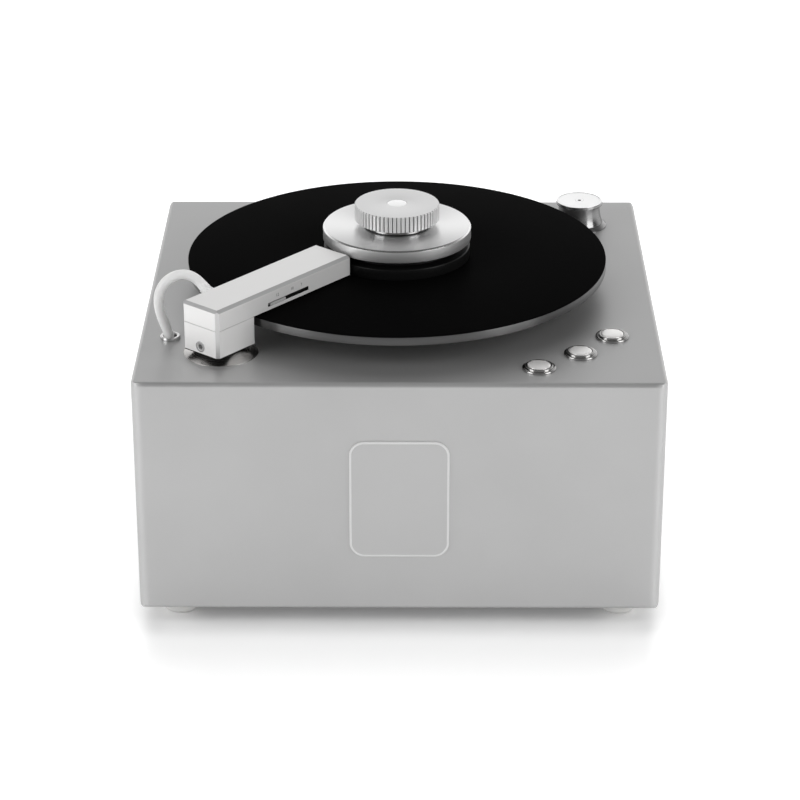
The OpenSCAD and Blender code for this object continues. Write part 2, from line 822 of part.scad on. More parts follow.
module rear_panel() {
    floor_z = sheet_t - well_depth;
    color("lightgray") on_panel() difference() {
        union() {
            linear_extrude(sheet_t)
                rounded_rect(well_w + 2 * panel_flange + 2 * sheet_t, well_h + 2 * panel_flange + 2 * sheet_t, 3);
            translate([0, 0, floor_z - sheet_t]) linear_extrude(well_depth)
                square([well_w + 2 * sheet_t, well_h + 2 * sheet_t], center = true);
        }
        translate([0, 0, floor_z]) linear_extrude(well_depth + 1) square([well_w, well_h], center = true);
        translate([inlet_dx, 0, floor_z - 2]) linear_extrude(4) square([inlet_w + 0.4, inlet_h + 0.4], center = true);
        translate([switch_dx, 0, floor_z - 2]) linear_extrude(4)
            square([switch_w + 4.4, switch_h + 4.4], center = true);
        translate([drain_dx, -drain_down, floor_z - 2]) cylinder(h = 4, r = spout_r + fit_gap);
        for (p = panel_spots) {
            translate([p[0], p[1], -1]) cylinder(h = 4, r = panel_screw_r + fit_gap);
            translate([p[0], p[1], 0]) cylinder(h = sheet_t, r1 = panel_screw_r, r2 = panel_screw_r + sheet_t);
        }
        for (x = [-20, 20]) {
            translate([inlet_dx + x, 0, floor_z - 2]) cylinder(h = 4, r = panel_screw_r + fit_gap);
        }
    }
}

module rear_screws() {
    floor_z = sheet_t - well_depth;
    color("gray") on_panel() {
        for (p = panel_spots) {
            translate([p[0], p[1], -4.5]) difference() {
                union() {
                    cylinder(h = 4.5 + EPS, r = panel_screw_r);
                    translate([0, 0, 4.5 + EPS])
                        cylinder(h = sheet_t - EPS, r1 = panel_screw_r, r2 = panel_screw_r + sheet_t - EPS);
                }
                translate([0, 0, 4.5 + sheet_t - 0.7]) cube([3.4, 0.7, 1.6], center = true);
            }
        }
        for (x = [-20, 20]) {
            translate([inlet_dx + x, 0, floor_z + 2.5]) cap_screw(2.8, 1.8, panel_screw_r, 7, 2);
        }
    }
}

// Mains inlet: a flange, a body through the floor, a socket with two cut corners, and three flat pins
module mains_inlet() {
    floor_z = sheet_t - well_depth;
    flange = 2.5;
    socket_w = 24.4;
    socket_h = 15.9;
    cut = 4;
    socket = [
        [-socket_w / 2, -socket_h / 2], [socket_w / 2, -socket_h / 2],
        [socket_w / 2, socket_h / 2 - cut], [socket_w / 2 - cut, socket_h / 2],
        [cut - socket_w / 2, socket_h / 2], [-socket_w / 2, socket_h / 2 - cut]
    ];
    color("dimgray") on_panel() translate([inlet_dx, 0, floor_z]) {
        difference() {
            union() {
                linear_extrude(flange) rounded_rect(49, 23, 4);
                translate([0, 0, -18]) linear_extrude(18 + EPS) square([inlet_w, inlet_h], center = true);
            }
            translate([0, 0, flange - 17]) linear_extrude(18) polygon(socket);
            for (x = [-20, 20]) {
                translate([x, 0, -1]) cylinder(h = flange + 2, r = panel_screw_r + fit_gap);
            }
        }
        for (p = [[-7, -2], [0, 2], [7, -2]]) {
            translate([p[0], p[1], flange - 10.5]) cube([2, 4, 14], center = true);
        }
    }
}

rocker_pivot_z = 1.2;
rocker_r = 10.4;

module switch_frame() {
    floor_z = sheet_t - well_depth;
    flange = 2;
    color("dimgray") on_panel() translate([switch_dx, 0, floor_z]) difference() {
        union() {
            linear_extrude(flange) rounded_rect(switch_w + 8, switch_h + 8, 2);
            translate([0, 0, -16]) linear_extrude(16 + EPS) square([switch_w + 4, switch_h + 4], center = true);
        }
        translate([0, 0, -12]) linear_extrude(16) square([switch_w, switch_h], center = true);
        translate([0, 0, rocker_pivot_z - 5]) rotate([0, 90, 0])
            cylinder(h = switch_w + 3, r = 1.5 + fit_gap, center = true);
    }
}

// The rocker at rest: tilted to its off side, with its ends on an arc about the pivot
module power_rocker() {
    floor_z = sheet_t - well_depth;
    thick = switch_w - 2 * run_gap - 0.4;
    color("black") on_panel() translate([switch_dx, 0, floor_z + rocker_pivot_z - 5]) rotate([0, 90, 0]) {
        rotate([0, 0, -8]) translate([0, 0, -thick / 2]) linear_extrude(thick) difference() {
            intersection() {
                circle(rocker_r);
                translate([-9.5, -rocker_r]) square([11.5, 2 * rocker_r]);
            }
            translate([-9.5, 0]) polygon([
                [-1, 2 - rocker_r], [0, 1.5 - rocker_r], [1.8, 0], [0, rocker_r - 1.5], [-1, rocker_r - 2]
            ]);
        }
        cylinder(h = switch_w + 2.4, r = 1.5, center = true);
    }
}

module drain_spout() {
    floor_z = sheet_t - well_depth;
    behind = well_floor_y - (tank_y + tank_d);
    color("gainsboro") on_panel() translate([drain_dx, -drain_down, floor_z]) difference() {
        union() {
            translate([0, 0, -behind]) cylinder(h = behind + spout_len, r = spout_r);
            translate([0, 0, -sheet_t - 3]) cylinder(h = 3, r = spout_r + 3);
            cylinder(h = 1, r = spout_r + 1.5);
        }
        translate([0, 0, -behind - 1]) cylinder(h = behind + spout_len + 2, r = spout_bore_r);
    }
}

module drain_cap() {
    floor_z = sheet_t - well_depth;
    color("dimgray") on_panel() translate([drain_dx, -drain_down, floor_z + spout_len + run_gap + cap_wall])
        mirror([0, 0, 1]) difference() {
            cylinder(h = drain_cap_len, r = spout_r + fit_gap + cap_wall - 0.3);
            translate([0, 0, cap_wall]) cylinder(h = drain_cap_len, r = spout_r + fit_gap);
        }
}

// Waste tank, its lid and the air duct to the blower

module waste_tank() {
    color("white") translate([tank_x, tank_y, 0]) difference() {
        union() {
            translate([0, 0, tank_z]) cube([tank_w, tank_d, tank_h]);
            for (x = [8, tank_w - 18]) {
                translate([x, 6, inside_z]) cube([10, tank_d - 12, rail_h + EPS]);
            }
        }
        translate([tank_wall, tank_wall, tank_z + tank_wall])
            cube([tank_w - 2 * tank_wall, tank_d - 2 * tank_wall, tank_h]);
        translate([drain_x - tank_x, tank_d - tank_wall - 1, drain_z]) rotate([-90, 0, 0])
            cylinder(h = tank_wall + 2, r = spout_bore_r);
    }
}

// The lid, with the tall pipe that the hose slides in and the short spigot for the air duct
module tank_lid() {
    pipe_bore = (ring_r + ring_bore_r) / 2 + fit_gap;
    color("gainsboro") difference() {
        union() {
            translate([tank_x, tank_y, tank_top_z]) cube([tank_w, tank_d, lid_t]);
            translate([ring_x, ring_y, tank_top_z]) cylinder(h = ceiling_z - tank_top_z, r = pipe_bore + 1.2);
            translate([outlet_x, blower_y, tank_top_z]) cylinder(h = lid_t + 5, r = duct_r - duct_wall - fit_gap);
        }
        translate([ring_x, ring_y, tank_top_z - 1]) cylinder(h = ceiling_z - tank_top_z + 2, r = pipe_bore);
        translate([outlet_x, blower_y, tank_top_z - 1])
            cylinder(h = lid_t + 7, r = duct_r - 2 * duct_wall - fit_gap);
    }
}

module duct_elbow() {
    rotate([90, 0, 0]) rotate_extrude(angle = 90) translate([duct_bend, 0]) difference() {
        circle(duct_r);
        circle(duct_r - duct_wall);
    }
}

module air_duct() {
    run = fan_inlet_x - outlet_x - 2 * duct_bend;
    bore = duct_r - duct_wall;
    color("gray") translate([outlet_x, blower_y, 0]) {
        translate([0, 0, lid_top_z]) tube(duct_r, bore, duct_z - duct_bend - lid_top_z);
        translate([duct_bend, 0, duct_z - duct_bend]) mirror([1, 0, 0]) duct_elbow();
        translate([duct_bend, 0, duct_z]) rotate([0, 90, 0]) tube(duct_r, bore, run);
        translate([duct_bend + run, 0, duct_z - duct_bend]) duct_elbow();
        translate([2 * duct_bend + run, 0, fan_top_z]) tube(duct_r, bore, duct_z - duct_bend - fan_top_z);
    }
}

module fan_case() {
    color("darkgray") at_blower() difference() {
        translate([0, 0, inside_z]) cylinder(h = fan_case_h, r = fan_case_r);
        translate([0, 0, inside_z + fan_wall]) cylinder(h = fan_case_h - 2 * fan_wall, r = fan_case_r - fan_wall);
        translate([0, 0, fan_top_z - fan_wall - 1]) cylinder(h = fan_wall + 2, r = fan_shaft_r + 1);
        translate([fan_inlet_x - blower_x, 0, fan_top_z - fan_wall - 1])
            cylinder(h = fan_wall + 2, r = duct_r - duct_wall);
        for (a = [0:45:315]) {
            rotate([0, 0, a]) translate([impeller_r / 2, 0, inside_z - 1]) cylinder(h = fan_wall + 2, r = 6);
        }
    }
}

module fan_motor() {
    color("dimgray") at_blower() translate([0, 0, fan_top_z]) difference() {
        union() {
            cylinder(h = fan_motor_h, r = fan_motor_r);
            translate([0, 0, fan_motor_h - EPS]) cylinder(h = 6, r = fan_motor_r / 3);
        }
        translate([0, 0, -1]) cylinder(h = fan_motor_h / 2 + 1, r = fan_shaft_r + fit_gap);
    }
}

module impeller() {
    z = inside_z + fan_case_h / 2 - impeller_h / 2;
    color("lightgray") at_blower() {
        translate([0, 0, z]) cylinder(h = 2, r = impeller_r);
        translate([0, 0, z]) cylinder(h = impeller_h, r = fan_shaft_r + 5);
        translate([0, 0, z]) cylinder(h = fan_top_z + fan_motor_h / 2 - run_gap - z, r = fan_shaft_r);
        for (a = [0:45:315]) {
            rotate([0, 0, a]) translate([fan_shaft_r + 3, -1, z]) cube([impeller_r - fan_shaft_r - 5, 2, impeller_h]);
        }
    }
}

// Bearing, spindle and platter

module bearing_housing() {
    bore = shaft_r + fit_gap + bush_wall;
    color("darkgray") at_platter() difference() {
        union() {
            translate([0, 0, top_z]) cylinder(h = bearing_flange_t, r = bearing_flange_r);
            translate([0, 0, bearing_end_z]) cylinder(h = top_z - bearing_end_z + EPS, r = bearing_tube_r);
        }
        translate([0, 0, bearing_end_z - 1]) cylinder(h = top_z - bearing_end_z + bearing_flange_t + 2, r = bore);
        for (a = [45:90:315]) {
            rotate([0, 0, a]) translate([bearing_screw_at, 0, top_z - 1])
                cylinder(h = bearing_flange_t + 2, r = bearing_screw_r + fit_gap);
        }
    }
}

module bearing_bushes() {
    color("goldenrod") at_platter() for (z = [bearing_end_z, top_z + bearing_flange_t - bush_len]) {
        translate([0, 0, z]) tube(shaft_r + fit_gap + bush_wall, shaft_r + fit_gap, bush_len);
    }
}

module bearing_screws() {
    color("gray") at_platter() for (a = [45:90:315]) {
        rotate([0, 0, a]) translate([bearing_screw_at, 0, top_z + bearing_flange_t])
            cap_screw(bearing_screw_r * 1.8, 2.4, bearing_screw_r, bearing_flange_t + 5, 2.5);
    }
}

module spindle() {
    color("gainsboro") at_platter() {
        translate([0, 0, pulley_z - 2]) cylinder(h = platter_z - pulley_z + 2, r = shaft_r);
        translate([0, 0, platter_z - EPS]) rotate_extrude() turned_block(pin_r, mat_z + pin_h - platter_z, 1);
    }
}

module platter_hub() {
    color("gray") at_platter() translate([0, 0, hub_z]) tube(hub_r, shaft_r + 0.02, platter_z - hub_z);
}

module platter() {
    color("gray") at_platter() translate([0, 0, platter_z]) difference() {
        rotate_extrude() polygon([
            [0, 0], [platter_r - platter_chamfer, 0], [platter_r, platter_chamfer],
            [platter_r, platter_t], [0, platter_t]
        ]);
        translate([0, 0, -1]) cylinder(h = platter_t + 2, r = pin_r + 0.02);
    }
}

module platter_mat() {
    color([0.06, 0.06, 0.06]) at_platter() translate([0, 0, platter_z + platter_t])
        tube(platter_r, pin_r + 0.02, mat_t);
}

// Belt drive

module pulley_section(groove_r, bore) {
    difference() {
        union() {
            square([groove_r, pulley_h]);
            square([groove_r + rim_r, rim_h]);
            translate([0, pulley_h - rim_h]) square([groove_r + rim_r, rim_h]);
        }
        translate([0, -1]) square([bore, pulley_h + 2]);
    }
}

module drive_pulley() {
    color("darkgray") at_platter() translate([0, 0, pulley_z]) difference() {
        rotate_extrude() pulley_section(drive_r, shaft_r + 0.02);
        for (a = [0:60:300]) {
            rotate([0, 0, a]) translate([drive_r * 0.6, 0, -1]) cylinder(h = pulley_h + 2, r = drive_r * 0.2);
        }
    }
}

module motor_pulley() {
    color("darkgray") at_motor() {
        translate([0, 0, pulley_z]) rotate_extrude() pulley_section(motor_pulley_r, motor_shaft_r - EPS);
        translate([0, 0, carrier_z - 10]) cylinder(h = pulley_z - carrier_z + 10 + EPS, r = motor_shaft_r);
    }
}

module drive_belt() {
    width = pulley_h - 2 * rim_h - 2 * run_gap;
    color("black") at_platter() rotate([0, 0, motor_bearing]) translate([0, 0, pulley_z + rim_h + run_gap])
        belt_loop(drive_r + run_gap, motor_pulley_r + run_gap, motor_dist, belt_t, width);
}

module platter_motor() {
    color("dimgray") at_motor() translate([0, 0, carrier_z - motor_h]) difference() {
        cylinder(h = motor_h, r = motor_r);
        translate([0, 0, motor_h - 11]) cylinder(h = 12, r = motor_shaft_r + fit_gap);
    }
}

module motor_carrier() {
    side = 2 * (pillar_at + pillar_r + 2);
    color("silver") at_motor() {
        translate([0, 0, carrier_z]) difference() {
            linear_extrude(carrier_t) rounded_rect(side, side, pillar_r + 2);
            translate([0, 0, -1]) cylinder(h = carrier_t + 2, r = motor_shaft_r + 2);
        }
        for (x = [-1, 1]) {
            for (y = [-1, 1]) {
                translate([x * pillar_at, y * pillar_at, carrier_z + carrier_t - EPS])
                    cylinder(h = ceiling_z - carrier_z - carrier_t + EPS, r = pillar_r);
                translate([x * pillar_at, y * pillar_at, ceiling_z - EPS]) cylinder(h = 4, r = pillar_r / 2);
            }
        }
    }
}

// Electrics

board_x = inside_x - board_w - 2 * unit_gap;
board_y = -inside_y + block_w + unit_gap;
board_z = inside_z + board_up;
trafo_x = inside_x - block_w - unit_gap - trafo_w;
trafo_y = inside_y - lug_w - unit_gap / 4 - trafo_coil - trafo_d;
socket_spots = [for (i = [0:2]) [board_x + 12 + i * 22, board_y + 14 + i * 10]];

module control_board() {
    color("darkgreen") {
        translate([board_x, board_y, board_z]) cube([board_w, board_d, board_t]);
        for (x = [5, board_w - 5]) {
            for (y = [5, board_d - 5]) {
                translate([board_x + x, board_y + y, inside_z]) cylinder(h = board_up + EPS, r = 3);
            }
        }
        for (p = socket_spots) {
            translate([p[0], p[1], board_z + board_t + 3.5 - EPS]) cube([10, 6, 7 + 2 * EPS], center = true);
        }
        translate([board_x + 12, board_y + 50, board_z + board_t]) cylinder(h = 20, r = 7);
        translate([board_x + 32, board_y + 50, board_z + board_t]) cylinder(h = 20, r = 7);
        translate([board_x + 46, board_y + 44, board_z + board_t]) cube([18, 26, 14]);
    }
}

module transformer() {
    core = 16;
    color("dimgray") translate([trafo_x, trafo_y, inside_z]) {
        cube([trafo_w, trafo_d, 3]);
        translate([8, 0, 3 - EPS]) cube([trafo_w - 16, trafo_d, trafo_h - 3]);
        translate([8 + core / 2, -trafo_coil, 3 + core / 2])
            cube([trafo_w - 16 - core, trafo_d + 2 * trafo_coil, trafo_h - 3 - core]);
    }
}

// A lead from the inlet to the transformer, and a pair of wires from each button to the board
module wiring() {
    lead_z = inside_z + trafo_h / 2;
    inlet_back = well_floor_y - 18;
    color("black") {
        bent_rod([
            [inlet_x, inlet_back, panel_z], [inlet_x, inlet_back - 8, panel_z],
            [trafo_x, trafo_y + trafo_d / 2, lead_z], [trafo_x + 8, trafo_y + trafo_d / 2, lead_z]
        ], lead_r);
        for (i = [0:2]) {
            a = button_angles[i];
            x = platter_x + button_arc_r * cos(a);
            y = platter_y + button_arc_r * sin(a);
            start_z = top_z - barrel_len;
            end = socket_spots[i];
            end_z = board_z + board_t + 7;
            bent_rod([
                [x, y, start_z], [x, y, start_z - 8], [end[0], end[1], end_z + 8], [end[0], end[1], end_z]
            ], wire_r);
        }
    }
}

// Clamp

module clamp_base() {
    color([0.05, 0.05, 0.05]) at_platter() translate([0, 0, clamp_z]) rotate_extrude() difference() {
        union() {
            difference() {
                square([clamp_base_r, clamp_base_h]);
                upper_round(clamp_base_r, clamp_base_h, 2);
            }
            square([clamp_core_r, clamp_base_h + clamp_groove_h]);
        }
        translate([0, -1]) square([pin_r + fit_gap, clamp_base_h + clamp_groove_h + 2]);
    }
}

module clamp_disc() {
    lower = clamp_chamfer / 2;
    color("silver") at_platter() translate([0, 0, disc_z]) rotate_extrude() difference() {
        polygon([
            [0, 0], [clamp_r - lower, 0], [clamp_r, lower], [clamp_r, clamp_disc_h - clamp_chamfer],
            [clamp_r - clamp_chamfer, clamp_disc_h], [0, clamp_disc_h]
        ]);
        translate([0, -1]) square([pin_r + fit_gap, clamp_disc_h + 2]);
    }
}

module clamp_neck() {
    stem_gap = stem_h + run_gap;
    color("whitesmoke") at_platter() translate([0, 0, neck_z]) rotate_extrude() difference() {
        square([neck_r, neck_h]);
        translate([0, -1]) square([pin_r + fit_gap, neck_h + 2]);
        translate([0, neck_h - stem_gap]) square([stem_r + fit_gap, stem_gap + 1]);
    }
}

module clamp_knob() {
    color("silver") at_platter() translate([0, 0, knob_z]) {
        rotate_extrude() difference() {
            turned_block(knob_r, knob_h, clamp_chamfer / 2);
            translate([0, knob_h - inlay_t]) square([inlay_r, inlay_t + 1]);
        }
        translate([0, 0, -stem_h]) cylinder(h = stem_h + EPS, r = stem_r);
    }
}

module knob_inlay() {
    color("white") at_platter() translate([0, 0, knob_z + knob_h - inlay_t]) cylinder(h = inlay_t, r = inlay_r);
}

// Pivot, column and hose

// A flared flange with its tube, and a key in the tube's bore that stops the column from turning
module pivot_flange() {
    bend = (pow(flange_r - flange_flat_r, 2) + pow(flange_h - flange_lip, 2)) / (2 * (flange_h - flange_lip));
    color("gainsboro") at_pivot() {
        translate([0, 0, top_z]) rotate_extrude() difference() {
            translate([column_bore_r, 0]) square([flange_r - column_bore_r, flange_h]);
            translate([flange_r, flange_lip + bend]) circle(bend, $fn = 180);
        }
        translate([0, 0, pivot_end_z]) tube(pivot_tube_r, column_bore_r, pivot_len + EPS);
        translate([-column_bore_r - 1, -key_w / 2, pivot_end_z]) cube([key_d + 1, key_w, key_h]);
    }
}

module pivot_nut() {
    color("gray") at_pivot() translate([0, 0, ceiling_z - pivot_nut_h]) difference() {
        hex_bar(2 * pivot_tube_r + 10, pivot_nut_h);
        translate([0, 0, -1]) cylinder(h = pivot_nut_h + 2, r = pivot_tube_r + 0.02);
    }
}

module lift_column() {
    head_top = block_z + head_h;
    groove_h = 2 * (set_tip_r + run_gap);
    way = key_w + 2 * run_gap;
    color("gainsboro") at_pivot() difference() {
        union() {
            translate([0, 0, column_end_z]) cylinder(h = block_z - column_end_z, r = column_r);
            translate([0, 0, block_z - EPS]) cylinder(h = head_h + EPS, r = head_r);
        }
        translate([0, 0, block_z + set_screw_up - groove_h / 2]) tube(head_r + 1, head_r - head_groove, groove_h);
        translate([-column_r - 1, -way / 2, column_end_z - 1])
            cube([key_d + run_gap + 1, way, pivot_end_z + key_h + run_gap - column_end_z + 1]);
        translate([0, 0, clip_z]) tube(column_r + 1, column_r - 1, clip_h);
    }
}

module column_clip() {
    color("gray") at_pivot() translate([0, 0, clip_z + 0.05]) difference() {
        cylinder(h = clip_h - 0.1, r = column_r + clip_reach);
        translate([0, 0, -1]) cylinder(h = clip_h + 2, r = column_r - 1 + fit_gap);
        translate([0, -4, -1]) cube([column_r + clip_reach + 1, 8, clip_h + 2]);
    }
}

module suction_hose() {
    color("whitesmoke") swept_tube(hose_path, hose_r, 12);
}

module hose_ring() {
    mid = (ring_r + ring_bore_r) / 2;
    half = (ring_r - ring_bore_r) / 2;
    color("gainsboro") translate([ring_x, ring_y, top_z]) rotate_extrude() {
        translate([mid, ring_h - half]) circle(half);
        translate([ring_bore_r, 0]) square([2 * half, ring_h - half]);
        translate([ring_bore_r, -top_t - 6]) square([half, top_t + 6 + EPS]);
    }
}

module hose_nipple() {
    z = bar_z + nipple_up;
    color("gainsboro") along_arm() translate([nipple_at, bar_w / 2, z]) rotate([-90, 0, 0]) difference() {
        union() {
            cylinder(h = nipple_t, r = nipple_r);
            translate([0, 0, -bar_wall]) cylinder(h = bar_wall + EPS, r = nipple_r - 1);
        }
        translate([0, 0, -bar_wall - 1]) cylinder(h = bar_wall + nipple_t + 2, r = nipple_bore_r);
    }
}

// Suction arm

// The outline of the arm seen from above, with its two rear corners cut
module arm_outline(front) {
    half = bar_w / 2;
    cut = arm_chamfer;
    polygon([
        [cut - bar_back, -half], [front, -half], [front, half],
        [cut - bar_back, half], [-bar_back, half - cut], [-bar_back, cut - half]
    ]);
}

// The lower block: the front corner that passes the platter's edge follows a circle about the pivot
module arm_block() {
    color("gainsboro") along_arm() difference() {
        translate([0, 0, block_z]) linear_extrude(bar_z - block_z) difference() {
            arm_outline(block_front);
            difference() {
                translate([5, 5]) square([block_front, bar_w]);
                circle(sweep_r);
            }
        }
        translate([0, 0, block_z - 1]) cylinder(h = head_h + 1 + run_gap, r = head_r + fit_gap);
        translate([-bar_back - 1, 0, block_z + set_screw_up]) rotate([0, 90, 0])
            cylinder(h = bar_back + 1 - head_r / 2, r = set_screw_r);
        for (y = [-1, 1]) {
            translate([6 - bar_back, y * (bar_w / 2 - 6.5), block_z - 1]) {
                cylinder(h = 4.5, r = bar_screw_head_r + 0.2);
                cylinder(h = bar_z - block_z + 2, r = bar_screw_r + fit_gap);
            }
        }
    }
}

module arm_bar() {
    cut = arm_chamfer;
    half = bar_w / 2;
    slit_mid = (slit_start + slit_end) / 2;
    color("gainsboro") along_arm() difference() {
        intersection() {
            translate([0, 0, bar_z]) linear_extrude(bar_h) arm_outline(bar_front);
            translate([-bar_back, 0, bar_z]) rotate([90, 0, 90]) linear_extrude(bar_back + bar_front) polygon([
                [-half, 0], [half, 0], [half, bar_h - cut], [half - cut, bar_h],
                [cut - half, bar_h], [-half, bar_h - cut]
            ]);
            translate([0, half, bar_z]) rotate([90, 0, 0]) linear_extrude(bar_w) polygon([
                [-bar_back, 0], [bar_front, 0], [bar_front, bar_h - cut / 2], [bar_front - cut / 2, bar_h],
                [cut - bar_back, bar_h], [-bar_back, bar_h - cut]
            ]);
        }
        translate([channel_start, -half + bar_wall, bar_z + bar_floor])
            cube([channel_end - channel_start, bar_w - 2 * bar_wall, channel_h]);
        translate([slit_mid, 0, bar_z]) cube([slit_end - slit_start, slit_w, 2 * bar_floor + 1], center = true);
        translate([slot_start, -half - 1, slot_z]) cube([slot_len, bar_wall + 2, slot_h]);
        translate([nipple_at, half + 1, bar_z + nipple_up]) rotate([90, 0, 0])
            cylinder(h = bar_wall + 2, r = nipple_r - 1);
        for (y = [-1, 1]) {
            translate([6 - bar_back, y * (half - 6.5), bar_z - 1]) cylinder(h = 7, r = bar_screw_r);
        }
    }
}

module arm_screws() {
    set_len = bar_back - 0.3 - (head_r + 1.2);
    color("gray") along_arm() {
        translate([0.3 - bar_back, 0, block_z + set_screw_up]) rotate([0, 90, 0]) difference() {
            union() {
                cylinder(h = set_len, r = set_screw_r - 0.02);
                cylinder(h = bar_back - 0.3 - head_r + head_groove - run_gap, r = set_tip_r);
            }
            translate([0, 0, -1]) hex_bar(2.5, 4);
        }
        for (y = [-1, 1]) {
            translate([6 - bar_back, y * (bar_w / 2 - 6.5), block_z + 3.5]) mirror([0, 0, 1])
                cap_screw(bar_screw_head_r, 2.4, bar_screw_r, bar_z - block_z + 2, 2);
        }
    }
}

module arm_lips() {
    length = slit_end - slit_start + 2 * lip_over - 0.6;
    thick = bar_gap - run_gap;
    color("black") along_arm() for (y = [-1, 1]) {
        translate([(slit_start + slit_end) / 2, y * (slit_w + lip_w) / 2, bar_z - thick / 2])
            cube([length, lip_w, thick], center = true);
    }
}

module size_slider() {
    half = bar_w / 2;
    floor_z = bar_z + bar_floor + run_gap;
    tab_z = slot_z + run_gap;
    start = slot_start + 2 * run_gap + 1.4;
    color("darkgray") along_arm() {
        translate([start - 4, -half + bar_wall + run_gap, floor_z])
            cube([shutter_len, bar_w / 2 - bar_wall + slit_w, shutter_t]);
        translate([start, -half - tab_proud, tab_z]) cube([tab_len, tab_proud + bar_wall + 3, tab_h]);
        translate([start, -half + bar_wall + run_gap, floor_z]) cube([tab_len, 3 - run_gap, tab_z + tab_h - floor_z]);
    }
}

// Buttons

module button_bezels() {
    bore = cap_r + run_gap;
    depth = cap_t + button_travel - cap_proud + run_gap * 2;
    color("gainsboro") for (i = [0:2]) {
        at_button(i) translate([0, 0, top_z]) rotate_extrude() difference() {
            union() {
                difference() {
                    square([bezel_r, bezel_h]);
                    upper_round(bezel_r, bezel_h, 1);
                }
                difference() {
                    square([bezel_ring_r, bezel_ring_h]);
                    upper_round(bezel_ring_r, bezel_ring_h, 0.8);
                }
                translate([0, -barrel_len]) square([barrel_r, barrel_len + EPS]);
            }
            translate([0, bezel_ring_h - depth]) square([bore, depth + 1]);
        }
    }
}

module button_nuts() {
    color("gray") for (i = [0:2]) {
        at_button(i) translate([0, 0, ceiling_z - button_nut_h]) difference() {
            hex_bar(2 * barrel_r + 4, button_nut_h);
            translate([0, 0, -1]) cylinder(h = button_nut_h + 2, r = barrel_r + 0.02);
        }
    }
}

module button_cap(i) {
    color("gainsboro") at_button(i) translate([0, 0, top_z + bezel_ring_h + cap_proud - cap_t]) rotate_extrude()
        difference() {
            square([cap_r, cap_t]);
            upper_round(cap_r, cap_t, 0.8);
        }
}

module forward_button() {
    button_cap(0);
}

module reverse_button() {
    button_cap(1);
}

module suction_button() {
    button_cap(2);
}

// Rear post

module post_base() {
    rise = post_base_h - 0.6;
    color("gainsboro") at_post() translate([0, 0, top_z]) rotate_extrude() difference() {
        polygon([
            [0, 0], [post_base_r, 0], [post_base_r, 0.6], [post_foot_r + 0.6, 0.6 + rise], [0, 0.6 + rise]
        ]);
        square([post_screw_r + fit_gap, post_base_h + 1]);
    }
}

// The post's body: waisted between its foot and its rim, with a shallow dish in its top
module post_body() {
    low = post_base_h;
    high = post_h - post_rim_h;
    sag = post_foot_r - post_waist_r;
    bend = (pow((high - low) / 2, 2) + pow(sag, 2)) / (2 * sag);
    dish = post_h - post_dish;
    color("gainsboro") at_post() translate([0, 0, top_z]) rotate_extrude() difference() {
        union() {
            translate([0, low]) square([post_foot_r, high - low + EPS]);
            translate([0, high]) square([post_top_r, post_rim_h - 0.8]);
            translate([post_top_r - 0.8, post_h - 0.8]) circle(0.8);
            translate([0, high]) square([post_top_r - 0.8, post_rim_h]);
        }
        translate([post_waist_r + bend, (low + high) / 2]) circle(bend, $fn = 180);
        translate([0, dish]) square([post_top_r - 1.6, 1]);
        square([post_screw_r + fit_gap, post_h + 1]);
        translate([0, dish - 3]) square([post_head_r + fit_gap, 4]);
    }
}

module post_screw() {
    head = 3;
    color("gray") at_post() translate([0, 0, top_z + post_h - post_dish - head])
        cap_screw(post_head_r, head, post_screw_r, post_h - post_dish - head + top_t - 1, 2.5);
}

casing();
base_plate();
base_screws();
feet();
front_plate();
rear_panel();
rear_screws();
mains_inlet();
switch_frame();
power_rocker();
drain_spout();
drain_cap();
waste_tank();
tank_lid();
air_duct();
fan_case();
fan_motor();
impeller();
bearing_housing();
bearing_bushes();
bearing_screws();
spindle();
platter_hub();
platter();
platter_mat();
drive_pulley();
drive_belt();
motor_pulley();
platter_motor();
motor_carrier();
control_board();
transformer();
wiring();
clamp_base();
clamp_disc();
clamp_neck();
clamp_knob();
knob_inlay();
pivot_flange();
pivot_nut();
lift_column();
column_clip();
suction_hose();
hose_ring();
hose_nipple();
arm_block();
arm_bar();
arm_screws();
arm_lips();
size_slider();
button_bezels();
button_nuts();
forward_button();
reverse_button();
suction_button();
post_base();
post_body();
post_screw();
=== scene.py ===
"""Looks of a record cleaning machine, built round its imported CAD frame.

Every length in the functions below is in millimetres, in the frame of the CAD model:
+X to the right seen from the front, +Y to the back, +Z up, origin on the ground.
"""
import json
import math

import bmesh
import bpy
from mathutils import Matrix, Vector

